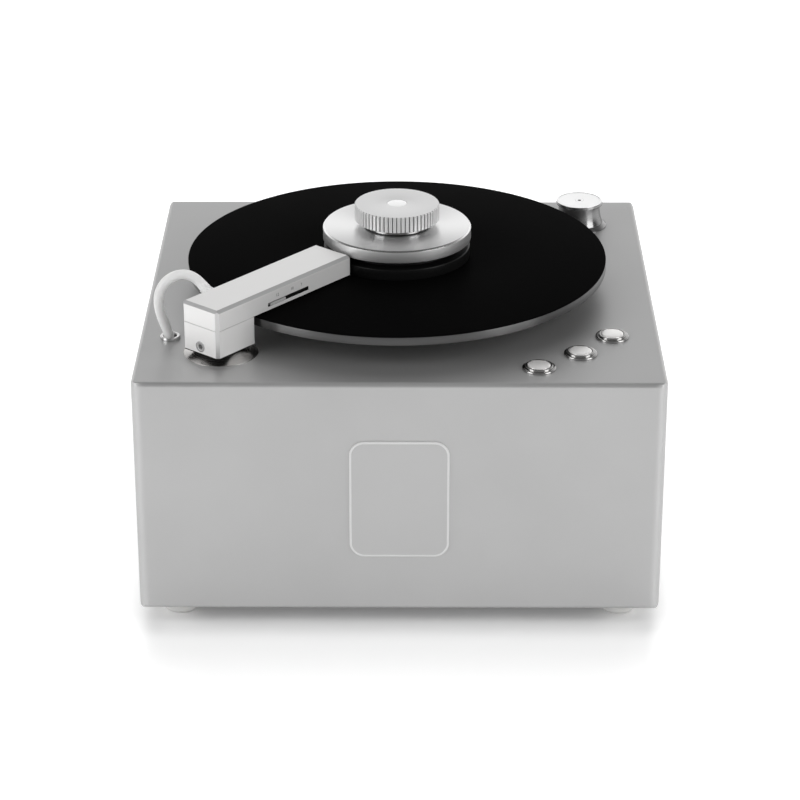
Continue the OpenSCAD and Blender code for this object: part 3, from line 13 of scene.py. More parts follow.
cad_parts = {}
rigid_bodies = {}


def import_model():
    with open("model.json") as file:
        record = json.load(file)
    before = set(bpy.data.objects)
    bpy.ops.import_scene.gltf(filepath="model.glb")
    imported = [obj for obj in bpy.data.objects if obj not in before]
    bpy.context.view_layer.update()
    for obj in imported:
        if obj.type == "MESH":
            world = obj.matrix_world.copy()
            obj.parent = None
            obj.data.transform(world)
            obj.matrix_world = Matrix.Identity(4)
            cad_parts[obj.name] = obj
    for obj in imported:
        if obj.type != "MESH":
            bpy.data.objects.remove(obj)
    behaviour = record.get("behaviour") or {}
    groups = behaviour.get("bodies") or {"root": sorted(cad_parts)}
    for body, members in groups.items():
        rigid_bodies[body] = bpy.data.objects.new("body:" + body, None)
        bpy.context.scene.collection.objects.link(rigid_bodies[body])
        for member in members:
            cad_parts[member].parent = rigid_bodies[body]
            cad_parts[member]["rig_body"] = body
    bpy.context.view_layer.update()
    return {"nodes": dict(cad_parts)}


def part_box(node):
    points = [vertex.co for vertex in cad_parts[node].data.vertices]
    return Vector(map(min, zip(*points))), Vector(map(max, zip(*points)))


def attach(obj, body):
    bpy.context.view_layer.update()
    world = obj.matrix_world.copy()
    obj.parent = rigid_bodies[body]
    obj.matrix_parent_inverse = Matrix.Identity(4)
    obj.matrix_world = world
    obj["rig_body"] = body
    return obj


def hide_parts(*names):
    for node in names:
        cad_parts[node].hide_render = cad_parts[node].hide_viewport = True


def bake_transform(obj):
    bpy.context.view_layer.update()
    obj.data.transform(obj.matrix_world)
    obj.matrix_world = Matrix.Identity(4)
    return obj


bl_info = {
    "name": "Record cleaning machine",
    "version": (1, 0, 0),
    "blender": (4, 5, 0),
    "location": "3D View > Sidebar > Record cleaner",
    "description": "Builds the pieces, finishes and studio of a record cleaning machine",
    "category": "Object",
}

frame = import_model()

MM = 0.001
BODY_OF = {node: piece["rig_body"] for node, piece in frame["nodes"].items()}


# ---------------------------------------------------------------- measures

def span(node):
    """Lowest and highest corner of a CAD node, in millimetres."""
    low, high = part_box(node)
    return low / MM, high / MM


def axis_of(node):
    """Centre of a turned CAD node seen from above, its radius, and its lowest and highest level."""
    low, high = span(node)
    return (low.x + high.x) / 2, (low.y + high.y) / 2, (high.x - low.x) / 2, low.z, high.z


PLATTER_X, PLATTER_Y, PLATTER_R, PLATTER_Z = axis_of("platter")[:4]
TOP_Z = span("casing")[1].z
POST_X, POST_Y = axis_of("post_base")[:2]
RING_X, RING_Y = axis_of("hose_ring")[:2]
PIVOT_X, PIVOT_Y = axis_of("lift_column")[:2]

# The arm: its angle to +X, its bar's underside, width and height, how far the bar's rear face lies behind the
# pivot, the level of the set screw in that face, and where the hose's nipple stands on the left side.
ARM_ANGLE = math.radians(49.9)
BAR_Z = span("arm_bar")[0].z
BAR_W = 33.2
BAR_H = 14.7
BAR_BACK = 20.1
SCREW_Z = span("arm_block")[0].z + 4.8
NIPPLE_X, NIPPLE_Z = 11.5, BAR_Z + 8.8


def along_arm(x, y, z):
    """A point of the arm (x from the pivot to the tip, y to its left) in the frame of the CAD model."""
    c, s = math.cos(ARM_ANGLE), math.sin(ARM_ANGLE)
    return Vector((PIVOT_X + x * c - y * s, PIVOT_Y + x * s + y * c, z))


def quarter(axis, way=1):
    """A quarter turn about an axis."""
    return Matrix.Rotation(way * math.pi / 2, 4, axis)


def arm_place(x=0, y=0, z=0, turn=Matrix.Identity(4)):
    """Matrix that carries a shape to a place on the arm."""
    return Matrix.Translation(along_arm(x, y, z)) @ Matrix.Rotation(ARM_ANGLE, 4, "Z") @ turn


# ---------------------------------------------------------------- shader maths

class Wire:
    """One output of a node. Arithmetic on it adds Math nodes."""

    def __init__(self, bench, socket):
        self.bench = bench
        self.socket = socket

    def math(self, operation, *values):
        return self.bench.node("ShaderNodeMath", {"operation": operation}, dict(enumerate(values)))

    def __neg__(self):
        return self.math("MULTIPLY", self, -1.0)

    def __abs__(self):
        return self.math("ABSOLUTE", self)

    def above(self, level):
        return self.math("GREATER_THAN", self, level)

    def root(self):
        return self.math("SQRT", self)

    def sine(self):
        return self.math("SINE", self)

    def clamped(self):
        return self.bench.node("ShaderNodeClamp", {}, {0: self, 1: 0.0, 2: 1.0})

    def smooth(self, low, high):
        """0 up to low, 1 from high on, smooth between them."""
        return self.bench.node(
            "ShaderNodeMapRange", {"interpolation_type": "SMOOTHSTEP"}, {0: self, 1: low, 2: high, 3: 0.0, 4: 1.0})


def arithmetic(operation, swapped):
    """A method of Wire. Swapped is for a number on the left of a wire."""
    return lambda wire, other: wire.math(operation, *((other, wire) if swapped else (wire, other)))


for word, operation in (("add", "ADD"), ("sub", "SUBTRACT"), ("mul", "MULTIPLY"), ("truediv", "DIVIDE")):
    setattr(Wire, f"__{word}__", arithmetic(operation, False))
    setattr(Wire, f"__r{word}__", arithmetic(operation, True))


class Bench:
    """A node tree under construction."""

    def __init__(self, tree):
        self.tree = tree

    def node(self, kind, settings=None, inputs=None, output=0):
        """Adds a node: its settings first, then the values or wires of its inputs. Returns one output."""
        made = self.tree.nodes.new(kind)
        for key, value in (settings or {}).items():
            setattr(made, key, value)
        for key, value in (inputs or {}).items():
            if isinstance(value, Wire):
                self.tree.links.new(value.socket, made.inputs[key])
            else:
                made.inputs[key].default_value = value
        return Wire(self, made.outputs[output])

    def place(self, centre=(0, 0, 0), turn=0.0, scale=(1, 1, 1)):
        """Object coordinates in millimetres, centred on a point of the piece and turned about Z."""
        spot = self.node("ShaderNodeTexCoord", output="Object")
        moved = self.node("ShaderNodeVectorMath", {"operation": "MULTIPLY_ADD"}, {
            0: spot, 1: (1 / MM, 1 / MM, 1 / MM), 2: tuple(-c for c in centre)})
        return self.node("ShaderNodeMapping", {}, {0: moved, 2: (0, 0, -turn), 3: scale})

    def parts(self, vector):
        return [self.node("ShaderNodeSeparateXYZ", {}, {0: vector}, i) for i in range(3)]

    def vector(self, x, y, z):
        return self.node("ShaderNodeCombineXYZ", {}, {0: x, 1: y, 2: z})

    def noise(self, vector, scale, detail=2.0, roughness=0.5):
        return self.node("ShaderNodeTexNoise", {}, {
            "Vector": vector, "Scale": scale, "Detail": detail, "Roughness": roughness})

    def mix(self, factor, first, second):
        return self.node("ShaderNodeMix", {"data_type": "RGBA"}, {0: factor, 6: first, 7: second}, 2)

    def bump(self, height, depth):
        """Depth is in millimetres."""
        return self.node("ShaderNodeBump", {}, {"Strength": 1.0, "Distance": depth * MM, "Height": height})

    def asks(self, kind):
        """1 for the rays of a kind, such as Camera or Glossy."""
        return self.node("ShaderNodeLightPath", output=f"Is {kind} Ray")


class Finish(Bench):
    """A material under construction, with one Principled shader at its end."""

    def __init__(self, name, **constants):
        self.material = bpy.data.materials.new(name)
        self.material.use_nodes = True
        super().__init__(self.material.node_tree)
        self.shader = self.tree.nodes["Principled BSDF"]
        self.output = self.tree.nodes["Material Output"]
        for socket, value in constants.items():
            self.shader.inputs[socket.replace("_", " ")].default_value = value

    def join(self, **wires):
        for socket, wire in wires.items():
            self.tree.links.new(wire.socket, self.shader.inputs[socket.replace("_", " ")])
        return self.material


def even(value):
    """A linear grey."""
    return (value, value, value, 1)


def grey(level, tint=0.0):
    """A linear colour from the grey that shows on the screen (0 to 255), warmer or cooler by tint."""
    v = level / 255
    v = v / 12.92 if v <= 0.04045 else ((v + 0.055) / 1.055) ** 2.4
    return (v * (1 + tint), v, v * (1 - tint), 1.0)


def scaled(colour, factor=1.0, gain=0.0):
    """A colour of three parts, scaled and raised, with full cover."""
    return tuple(min(1.0, c * factor + gain) for c in colour) + (1.0,)


def lacquered(name, level, metallic, roughness, grain=0.25, depth=0.01, spread=0.04, tint=0.0, speck=2.2):
    """Sprayed lacquer or fine blasting: a fine grain, and a faint cloud in its colour and gloss."""
    f = Finish(name, Metallic=metallic)
    spot = f.place()
    fine = f.noise(spot, speck, 2.0, 0.6)
    cloud = f.noise(spot, 0.012, 2.0, 0.5)
    low, high = grey(level * (1 - spread), tint), grey(level * (1 + spread), tint)
    shade = ((fine - 0.5) * grain + cloud).clamped()
    return f.join(
        Base_Color=f.mix(shade, low, high),
        Roughness=roughness + (fine - 0.5) * 0.12 + (cloud - 0.5) * 0.05,
        Normal=f.bump(fine, depth))


def turned(
        name, level, centre, roughness=0.3, metallic=1.0, pitch=0.35, depth=0.004, spread=0.05, tint=0.0, drawn=0.0):
    """Metal turned on a lathe: fine rings about an axis that is parallel to Z. Drawn above 0, the rings draw
    reflections out away from the axis, which has to be the middle of the piece."""
    f = Finish(name, Metallic=metallic, Anisotropic=drawn, Anisotropic_Rotation=0.25)
    x, y, z = f.parts(f.place((centre[0], centre[1], 0)))
    radius = (x * x + y * y).root()
    rings = f.noise(f.vector(radius / pitch, z / pitch, 0.0), 1.0, 3.0, 0.7)
    broad = f.noise(f.vector(radius / (pitch * 14), z / (pitch * 14), 2.0), 1.0, 1.0)
    shade = (rings * 0.6 + broad * 0.4).clamped()
    return f.join(
        Base_Color=f.mix(shade, grey(level * (1 - spread), tint), grey(min(255, level * (1 + spread)), tint)),
        Roughness=roughness + (rings - 0.5) * 0.10,
        Normal=f.bump(rings, depth))


def polished(name, level, roughness=0.07, tint=0.0):
    """Polished metal with faint smears and hairlines."""
    f = Finish(name, Metallic=1.0)
    spot = f.place()
    smear = f.noise(spot, 0.08, 3.0, 0.6)
    hair = f.noise(f.place(turn=0.6, scale=(0.05, 3.0, 0.6)), 1.0, 3.0, 0.7)
    return f.join(
        Base_Color=f.mix(smear, grey(level * 0.97, tint), grey(min(255, level * 1.02), tint)),
        Roughness=roughness + smear.smooth(0.35, 0.75) * 0.06 + (hair - 0.5) * 0.03,
        Normal=f.bump(hair, 0.0008))


def moulded(name, colour, roughness, depth=0.03, specular=0.5):
    """Moulded plastic with a fine spark-eroded grain."""
    f = Finish(name, Specular_IOR_Level=specular)
    spot = f.place()
    grain = f.noise(spot, 1.6, 3.0, 0.65)
    cloud = f.noise(spot, 0.05, 2.0)
    shade = (cloud * 0.7 + grain * 0.3).clamped()
    return f.join(
        Base_Color=f.mix(shade, scaled(colour, 1 - 0.06), scaled(colour, 1 + 0.06)),
        Roughness=roughness + (grain - 0.5) * 0.15,
        Normal=f.bump(grain, depth))


def rubber(name, colour, roughness=0.75, specular=0.25):
    """Moulded rubber: dull, with a soft bloom of dust."""
    f = Finish(name, Specular_IOR_Level=specular)
    spot = f.place()
    grain = f.noise(spot, 3.0, 2.0, 0.6)
    bloom = f.noise(spot, 0.09, 3.0, 0.6).smooth(0.45, 0.8)
    return f.join(
        Base_Color=f.mix(bloom, scaled(colour), scaled(colour, gain=0.02)),
        Roughness=roughness + bloom * 0.1 + (grain - 0.5) * 0.1,
        Normal=f.bump(grain, 0.02))


# ---------------------------------------------------------------- shapes

def placed(name, data):
    """A new object in the scene."""
    made = bpy.data.objects.new(name, data)
    bpy.context.scene.collection.objects.link(made)
    return made


def mesh_of(bm, name):
    """Turns a bmesh in millimetres into a mesh."""
    bm.transform(Matrix.Scale(MM, 4))
    mesh = bpy.data.meshes.new(name)
    bm.to_mesh(mesh)
    bm.free()
    return mesh


def shaded(mesh, angle):
    """Smooth shading, but for edges sharper than an angle in degrees."""
    mesh.shade_smooth()
    mesh.set_sharp_from_angle(angle=math.radians(angle))


def mount(piece, node=None, body=None):
    """Lets a piece ride on a body, which comes from the CAD node that the piece stands for, if any."""
    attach(piece, body or BODY_OF[node])
    if node:
        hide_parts(node)
    return piece


def finished(bm, name, material, node=None, body=None, smooth=32, transform=None, extra=()):
    """Turns a bmesh in millimetres into a piece, mounted if it has a CAD node or a body."""
    if transform:
        bm.transform(transform)
    piece = placed(name, mesh_of(bm, name))
    shaded(piece.data, smooth)
    for each in (material, *extra):
        piece.data.materials.append(each)
    return mount(piece, node, body) if node or body else piece


def dye(bm, chosen):
    """Gives each face its place among a piece's materials."""
    bm.normal_update()
    for face in bm.faces:
        face.material_index = chosen(face)


def softened(profile, radius=0.2, steps=3):
    """The corners of a closed profile, (r, z) or (r, z, own radius), rounded by small arcs."""
    made = []
    count = len(profile)
    for i, corner in enumerate(profile):
        here = Vector(corner[:2])
        size = corner[2] if len(corner) > 2 else radius
        if size <= 0:
            made.append(here)
            continue
        before = Vector(profile[i - 1][:2]) - here
        after = Vector(profile[(i + 1) % count][:2]) - here
        if before.length < 1e-6 or after.length < 1e-6:
            continue
        angle = before.angle(after, math.pi)
        if angle > math.radians(176):
            made.append(here)
            continue
        cut = min(size / math.tan(angle / 2), before.length * 0.49, after.length * 0.49)
        real = cut * math.tan(angle / 2)
        middle = here + (before.normalized() + after.normalized()).normalized() * (real / math.sin(angle / 2))
        first = (here + before.normalized() * cut - middle).normalized()
        last = (here + after.normalized() * cut - middle).normalized()
        for k in range(steps + 1):
            made.append(middle + real * first.slerp(last, k / steps))
    return made


def bridged(bm, rows, closed=False):
    """Adds faces between each row of vertices and the next, and from the last to the first if it is closed.
    Each row goes all the way round. A row of one vertex is a tip."""
    faces = []
    for a, b in zip(rows, rows[1:] + rows[:1] if closed else rows[1:]):
        count = max(len(a), len(b))
        for k in range(count if count > 1 else 0):
            n = (k + 1) % count
            corners = (a[k], a[n]) if len(a) > 1 else a
            corners = (*corners, b[n], b[k]) if len(b) > 1 else (*corners, b[0])
            faces.append(bm.faces.new(corners))
    return faces


def circle(count, first=0.0):
    """Cosine and sine of each of a count of angles all the way round."""
    angles = [2 * math.pi * (k + first) / count for k in range(count)]
    return [(math.cos(a), math.sin(a)) for a in angles]


def turn_solid(bm, profile, segments, centre=(0, 0, 0)):
    """Adds a solid turned from a closed profile of (r, z). Where it touches the axis it has a tip."""
    x, y, z = centre
    rows = []
    for r, level in profile:
        ways = circle(segments) if r >= 1e-6 else [(0.0, 0.0)]
        rows.append([bm.verts.new((x + r * c, y + r * s, z + level)) for c, s in ways])
    bmesh.ops.recalc_face_normals(bm, faces=bridged(bm, rows, closed=True))


def lathe(name, profile, centre, material, node, radius=0.2, segments=160, smooth=32, transform=None, others=(),
          chosen=None):
    """A turned piece in the place of a CAD node. Chosen gives a face's place among its materials."""
    bm = bmesh.new()
    turn_solid(bm, softened(profile, radius), segments, centre)
    if chosen:
        dye(bm, chosen)
    return finished(bm, name, material, node, smooth=smooth, transform=transform, extra=others)


def socket_bolt(bm, profile, across, top, deep, place):
    """Adds a bolt that points up Z: a hexagon pocket, its mouth at the level top, then a profile of (r, z)."""
    sides = 48

    def corner(size, k, hexagon):
        angle = 2 * math.pi * k / sides
        turned_in = (angle + math.pi / 6) % (math.pi / 3) - math.pi / 6
        r = size / 2 / math.cos(turned_in) if hexagon else size
        return r * math.cos(angle), r * math.sin(angle)

    rows = [(0.01, top + deep + 0.4, False), (across * 0.98, top + deep, True), (across, top + 0.2, True),
            (across * 1.06, top, True)] + [(r, z, False) for r, z in profile]
    rings = [[bm.verts.new(place @ Vector((*corner(size, k, hexagon), z))) for k in range(sides)]
             for size, z, hexagon in rows]
    faces = bridged(bm, rings) + [bm.faces.new(rings[0]), bm.faces.new(rings[-1])]
    bmesh.ops.recalc_face_normals(bm, faces=faces)


def merged_copy(node):
    """A bmesh of a CAD node in millimetres, its doubles merged."""
    bm = bmesh.new()
    bm.from_mesh(frame["nodes"][node].data)
    bm.transform(Matrix.Scale(1 / MM, 4))
    bmesh.ops.remove_doubles(bm, verts=bm.verts, dist=0.002)
    return bm


def baked(piece):
    """Applies a piece's modifiers to its mesh."""
    graph = bpy.context.evaluated_depsgraph_get()
    mesh = bpy.data.meshes.new_from_object(
        piece.evaluated_get(graph), preserve_all_data_layers=True, depsgraph=graph)
    piece.modifiers.clear()
    piece.data = mesh


def dressed(node, name, material, bevel=0.0, others=(), chosen=None, before=None):
    """A CAD node's shape with merged faces, soft edges and even shading. Chosen gives a face's place among the
    materials, and before changes the shape first."""
    sharp = 30
    bm = merged_copy(node)
    if bevel:
        bmesh.ops.dissolve_limit(
            bm, angle_limit=math.radians(0.5), verts=bm.verts, edges=bm.edges, use_dissolve_boundaries=False)
    bm.normal_update()
    if before:
        before(bm)
    if chosen:
        dye(bm, chosen)
    piece = finished(bm, name, material, smooth=sharp, extra=others)
    if bevel:
        edge = piece.modifiers.new("Soft edges", "BEVEL")
        edge.width = bevel * MM
        edge.segments = 2
        edge.limit_method = "ANGLE"
        edge.angle_limit = math.radians(sharp)
        edge.use_clamp_overlap = True
    shading = piece.modifiers.new("Even shading", "WEIGHTED_NORMAL")
    shading.keep_sharp = True
    shading.weight = 100
    baked(piece)
    return mount(piece, node)


def recoloured(node, material):
    """Keeps a CAD node's own mesh and gives it a finish."""
    piece = frame["nodes"][node]
    piece.data.materials.clear()
    piece.data.materials.append(material)


# ---------------------------------------------------------------- node trees for what repeats

class Tree(Bench):
    """A Geometry Nodes tree under construction, with named inputs."""

    def __init__(self, name, inputs):
        super().__init__(bpy.data.node_groups.new(name, "GeometryNodeTree"))
        face = self.tree.interface
        face.new_socket("Geometry", in_out="INPUT", socket_type="NodeSocketGeometry")
        for label, kind in (*inputs.items(), ("Material", "Material")):
            face.new_socket(label, in_out="INPUT", socket_type="NodeSocket" + kind)
        face.new_socket("Geometry", in_out="OUTPUT", socket_type="NodeSocketGeometry")
        self.start = self.tree.nodes.new("NodeGroupInput")
        self.end = self.tree.nodes.new("NodeGroupOutput")

    def asked(self, label):
        return Wire(self, self.start.outputs[label])

    def close(self, geometry):
        """Ends the tree in Realize Instances and Set Material."""
        real = self.node("GeometryNodeRealizeInstances", {}, {0: geometry})
        coated = self.node("GeometryNodeSetMaterial", {}, {0: real, "Material": self.asked("Material")})
        self.tree.links.new(coated.socket, self.end.inputs[0])
        return self.tree


def ring_tree():
    """Copies of a shape on a circle, each turned outwards."""
    t = Tree("Copies on a circle", {
        "Count": "Int", "Radius": "Float", "Centre": "Vector", "First angle": "Float"})
    points = t.node("GeometryNodePoints", {}, {0: t.asked("Count")})
    share = t.node("GeometryNodeInputIndex") / t.asked("Count")
    angle = share.math("MULTIPLY_ADD", share, 2 * math.pi, t.asked("First angle"))
    away = t.vector(angle.math("COSINE", angle), angle.sine(), 0.0)
    spoke = t.node("ShaderNodeVectorMath", {"operation": "SCALE"}, {0: away, "Scale": t.asked("Radius")})
    spot = t.node("ShaderNodeVectorMath", {"operation": "ADD"}, {0: spoke, 1: t.asked("Centre")})
    spread = t.node("GeometryNodeSetPosition", {}, {"Geometry": points, "Position": spot})
    return t.close(t.node("GeometryNodeInstanceOnPoints", {}, {
        "Points": spread, "Instance": t.asked("Geometry"), "Rotation": t.vector(0.0, 0.0, angle)}))


def spots_tree():
    """Copies of a shape at each vertex of a mesh of points."""
    t = Tree("Copies at points", {"Spots": "Object"})
    spots = t.node("GeometryNodeObjectInfo", {}, {0: t.asked("Spots")}, "Geometry")
    return t.close(t.node("GeometryNodeInstanceOnPoints", {}, {"Points": spots, "Instance": t.asked("Geometry")}))


TREES = {}


def repeated(name, bm, tree, values, material):
    """A plain mesh of the copies that a node tree makes of a small shape, given in millimetres."""
    if tree not in TREES:
        TREES[tree] = tree()
    piece = placed(name, mesh_of(bm, name))
    maker = piece.modifiers.new("Copies", "NODES")
    maker.node_group = TREES[tree]
    values = {**values, "Material": material}
    for item in TREES[tree].interface.items_tree:
        if item.item_type == "SOCKET" and item.in_out == "INPUT" and item.name in values:
            maker[item.identifier] = values[item.name]
    piece.update_tag()
    bpy.context.view_layer.update()
    baked(piece)
    shaded(piece.data, 32)
    return piece


def at_spots(name, bm, spots, material, node):
    """Copies of a small shape at points in millimetres, in the place of a CAD node."""
    mesh = bpy.data.meshes.new("spots")
    mesh.from_pydata([tuple(c * MM for c in spot) for spot in spots], [], [])
    helper = placed("spots", mesh)
    piece = repeated(name, bm, spots_tree, {"Spots": helper}, material)
    bpy.data.objects.remove(helper)
    mount(piece, node)


# ---------------------------------------------------------------- settings

def length_setting(name, description, default, low, high):
    """A length as a setting, given in millimetres."""
    return bpy.props.FloatProperty(
        name=name, description=description, default=default * MM, min=low * MM, max=high * MM, unit="LENGTH")


def grey_setting(name, what, default):
    """A grey as a setting, from 0 to 255."""
    return bpy.props.FloatProperty(name=name, description=f"Grey of the {what}", default=default, min=0, max=255)


class RecordCleanerSizes(bpy.types.PropertyGroup):
    """Sizes of the details that the scene adds to the frame."""

    flutes: bpy.props.IntProperty(
        name="Knob flutes", description="Number of lands round the knob", default=62, min=12, max=120)
    flute_gap: length_setting("Flute width", "Width of the groove between two lands", 0.95, 0.2, 3)
    soft_edge: length_setting("Soft edge", "Rounding of the arm's edges", 0.3, 0.05, 1)
    hose_wall: length_setting("Hose wall", "Wall of the suction hose", 0.9, 0.3, 2)
    figure_height: length_setting("Figure height", "Height of the figures over the slot", 2.2, 1, 4)
    camera_lens: bpy.props.FloatProperty(
        name="Lens", description="Focal length of the camera", default=126.04, min=20, max=300, unit="CAMERA")


class RecordCleanerColours(bpy.types.PropertyGroup):
    """Greys of the outer finishes, as they show on a screen."""

    casing: grey_setting("Casing", "casing", 184)
    platter: grey_setting("Platter", "platter's rim", 88)
    clamp: grey_setting("Clamp", "clamp's disc", 238)
    arm: grey_setting("Arm", "suction arm", 230)
    bright: grey_setting("Polished", "polished pieces", 222)
    hose: bpy.props.FloatVectorProperty(
        name="Hose", description="Tint of the hose", subtype="COLOR", default=(0.98, 0.98, 0.975), min=0, max=1)


def sizes():
    return bpy.context.scene.record_cleaner_sizes


def colours():
    return bpy.context.scene.record_cleaner_colours


# ---------------------------------------------------------------- operators

class Builder(bpy.types.Operator):
    """Runs one build step"""

    bl_options = {"REGISTER", "UNDO"}

    def execute(self, context):
        self.build()
        return {"FINISHED"}


# Fitted to the photograph: the camera's place in metres, and how far it looks down and aside in radians.
CAMERA_PLACE = (0.008525, -1.873003, 0.955900)
CAMERA_DOWN, CAMERA_ASIDE = 0.43179, 0.00473


class OBJECT_OT_cleaner_camera(Builder):
    """Place the camera in front of the machine and above it"""

    bl_idname = "object.cleaner_camera"
    bl_label = "Camera"

    def build(self):
        data = bpy.data.cameras.new("Camera")
        data.sensor_width = 36.0
        data.sensor_fit = "HORIZONTAL"
        data.lens = sizes().camera_lens
        data.clip_start = 0.05
        data.clip_end = 50.0
        camera = placed("Camera", data)
        camera.location = CAMERA_PLACE
        camera.rotation_euler = (math.pi / 2 - CAMERA_DOWN, 0.0, CAMERA_ASIDE)
        bpy.context.scene.camera = camera


# The hose: its outer radius, how much of its bow's lean to the side is kept, and how far it bows away from a
# straight line, point by point.
HOSE_R = 3.5
HOSE_LEAN = 0.93
HOSE_BOW = (
    (-1.77, 2.76, 2.92), (-3.26, 5.19, 7.08), (-4.87, 6.86, 11.78), (-6.89, 7.58, 16.42), (-9.43, 7.47, 20.35),
    (-12.32, 6.85, 23.09), (-15.22, 6.08, 24.61), (-17.84, 5.3, 24.99), (-19.88, 4.56, 24.34),
    (-21.11, 3.83, 22.86), (-21.36, 3.12, 20.79), (-20.59, 2.46, 18.42), (-18.89, 1.88, 15.98),
    (-16.49, 1.38, 13.62), (-13.63, 0.98, 11.36), (-10.5, 0.68, 9.19), (-7.33, 0.46, 7.04),
    (-4.37, 0.28, 4.81), (-1.87, 0.13, 2.46))


def hose_route():
    """The hose's route from the arm's nipple, in an arch, down through the ring in the casing's top."""
    start = along_arm(NIPPLE_X, BAR_W / 2 + 1.8, NIPPLE_Z)
    drop = Vector((RING_X, RING_Y, TOP_Z - 6))
    route = [start, start + 0.5 * Vector((-math.sin(ARM_ANGLE), math.cos(ARM_ANGLE), 0))]
    for i, (x, y, z) in enumerate(HOSE_BOW, 1):
        route.append(start + (drop - start) * i / (len(HOSE_BOW) + 1) + Vector((x * HOSE_LEAN, y, z)))
    return route + [drop - Vector((0, 0, z)) for z in (0, 0.5, 10, 20, 30, 40)]


def smooth_route(route):
    """Eight times as many points along the same route, on a smooth curve through it."""
    made = []
    for p0, p1, p2, p3 in zip(route[:1] + route, route, route[1:], route[2:] + route[-1:]):
        for t in (k / 8 for k in range(8)):
            made.append(0.5 * (
                2 * p1 + (p2 - p0) * t + (2 * p0 - 5 * p1 + 4 * p2 - p3) * t * t
                + (3 * p1 - p0 - 3 * p2 + p3) * t ** 3))
    return made + [route[-1]]


def sweep(bm, route, radius, bore, swell):
    """Adds a hollow tube along a route, with closed rims. Swell gives what its radius gains along its way."""
    side = Vector((0, 0, 1)).cross(route[1] - route[0]).normalized()
    outer, inner = [], []
    gone = 0.0
    for last, here, ahead in zip(route[:1] + route, route, route[1:] + route[-1:]):
        gone += (here - last).length
        way = (ahead - last).normalized()
        side = (side - way * side.dot(way)).normalized()
        up = way.cross(side)
        for rings, r in ((outer, radius), (inner, bore)):
            rings.append([bm.verts.new(here + (r + swell(gone)) * (c * side + s * up)) for c, s in circle(28)])
    bmesh.ops.recalc_face_normals(bm, faces=bridged(bm, outer + inner[::-1], closed=True))


class OBJECT_OT_cleaner_hose(Builder):
    """Make the suction hose, its ring in the casing and the ribbed nipple on the arm"""

    bl_idname = "object.cleaner_hose"
    bl_label = "Suction hose"

    def swell(self, gone):
        """The barb inside pushes the hose out in four soft ribs next to the arm."""
        reach, height, pitch = 11, 0.55, 2.4
        if gone > reach:
            return 0.0
        return height * (1 - gone / reach) ** 0.5 * abs(math.cos(math.pi * gone / pitch))

    def build(self):
        clear = Finish(
            "milky_silicone", IOR=1.41, Transmission_Weight=0.24, Subsurface_Weight=0.1,
            Subsurface_Radius=(1.0, 1.0, 1.0), Subsurface_Scale=0.003)
        spot = clear.place()
        milk = clear.noise(spot, 0.12, 3.0)
        tint = colours().hose
        clear.join(
            Base_Color=clear.mix(milk, scaled(tint, 0.94), scaled(tint)),
            Roughness=0.26 + milk * 0.1,
            Normal=clear.bump(clear.noise(spot, 0.5, 2.0), 0.05))
        route = hose_route()
        fine = smooth_route(route)
        bm = bmesh.new()
        sweep(bm, fine, HOSE_R, HOSE_R - sizes().hose_wall / MM, self.swell)
        hose = finished(bm, "hose", clear.material, smooth=60)
        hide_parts("suction_hose")
        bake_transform(hose)
        length = sum((b - a).length for a, b in zip(fine, fine[1:])) * MM
        tuple(route[0] * MM)
        [tuple(p * MM) for p in fine]

        bright = polished("nipple_metal", colours().bright, 0.12)
        place = arm_place(NIPPLE_X, BAR_W / 2, NIPPLE_Z, quarter("X", -1))
        lathe(
            "hose_nipple_turned",
            [(2.0, -3.0), (3.1, -3.0), (3.2, 0.0, 0.0), (4.2, 0.0), (4.2, 1.5, 0.4), (2.0, 1.5)],
            (0, 0, 0), bright, "hose_nipple", segments=64, transform=place)
        barb = [(1.2, 1.3), (2.3, 1.3)]
        for i in range(4):
            barb += [(2.5, 2.0 + 2.4 * i), (1.9, 4.2 + 2.4 * i)]
        bm = bmesh.new()
        turn_solid(bm, softened(barb + [(1.2, 11.4)], 0.15), segments=40)
        finished(bm, "hose_barb", bright, body="arm", transform=place)
        lathe(
            "hose_ring_turned",
            [(4.7, -14.0), (6.15, -14.0), (6.15, 0.0, 0.0), (6.9, 0.0), (6.9, 2.2, 0.45), (4.7, 2.1, 0.35)],
            (RING_X, RING_Y, TOP_Z), polished("ring_metal", colours().bright, 0.08), "hose_ring", segments=72)


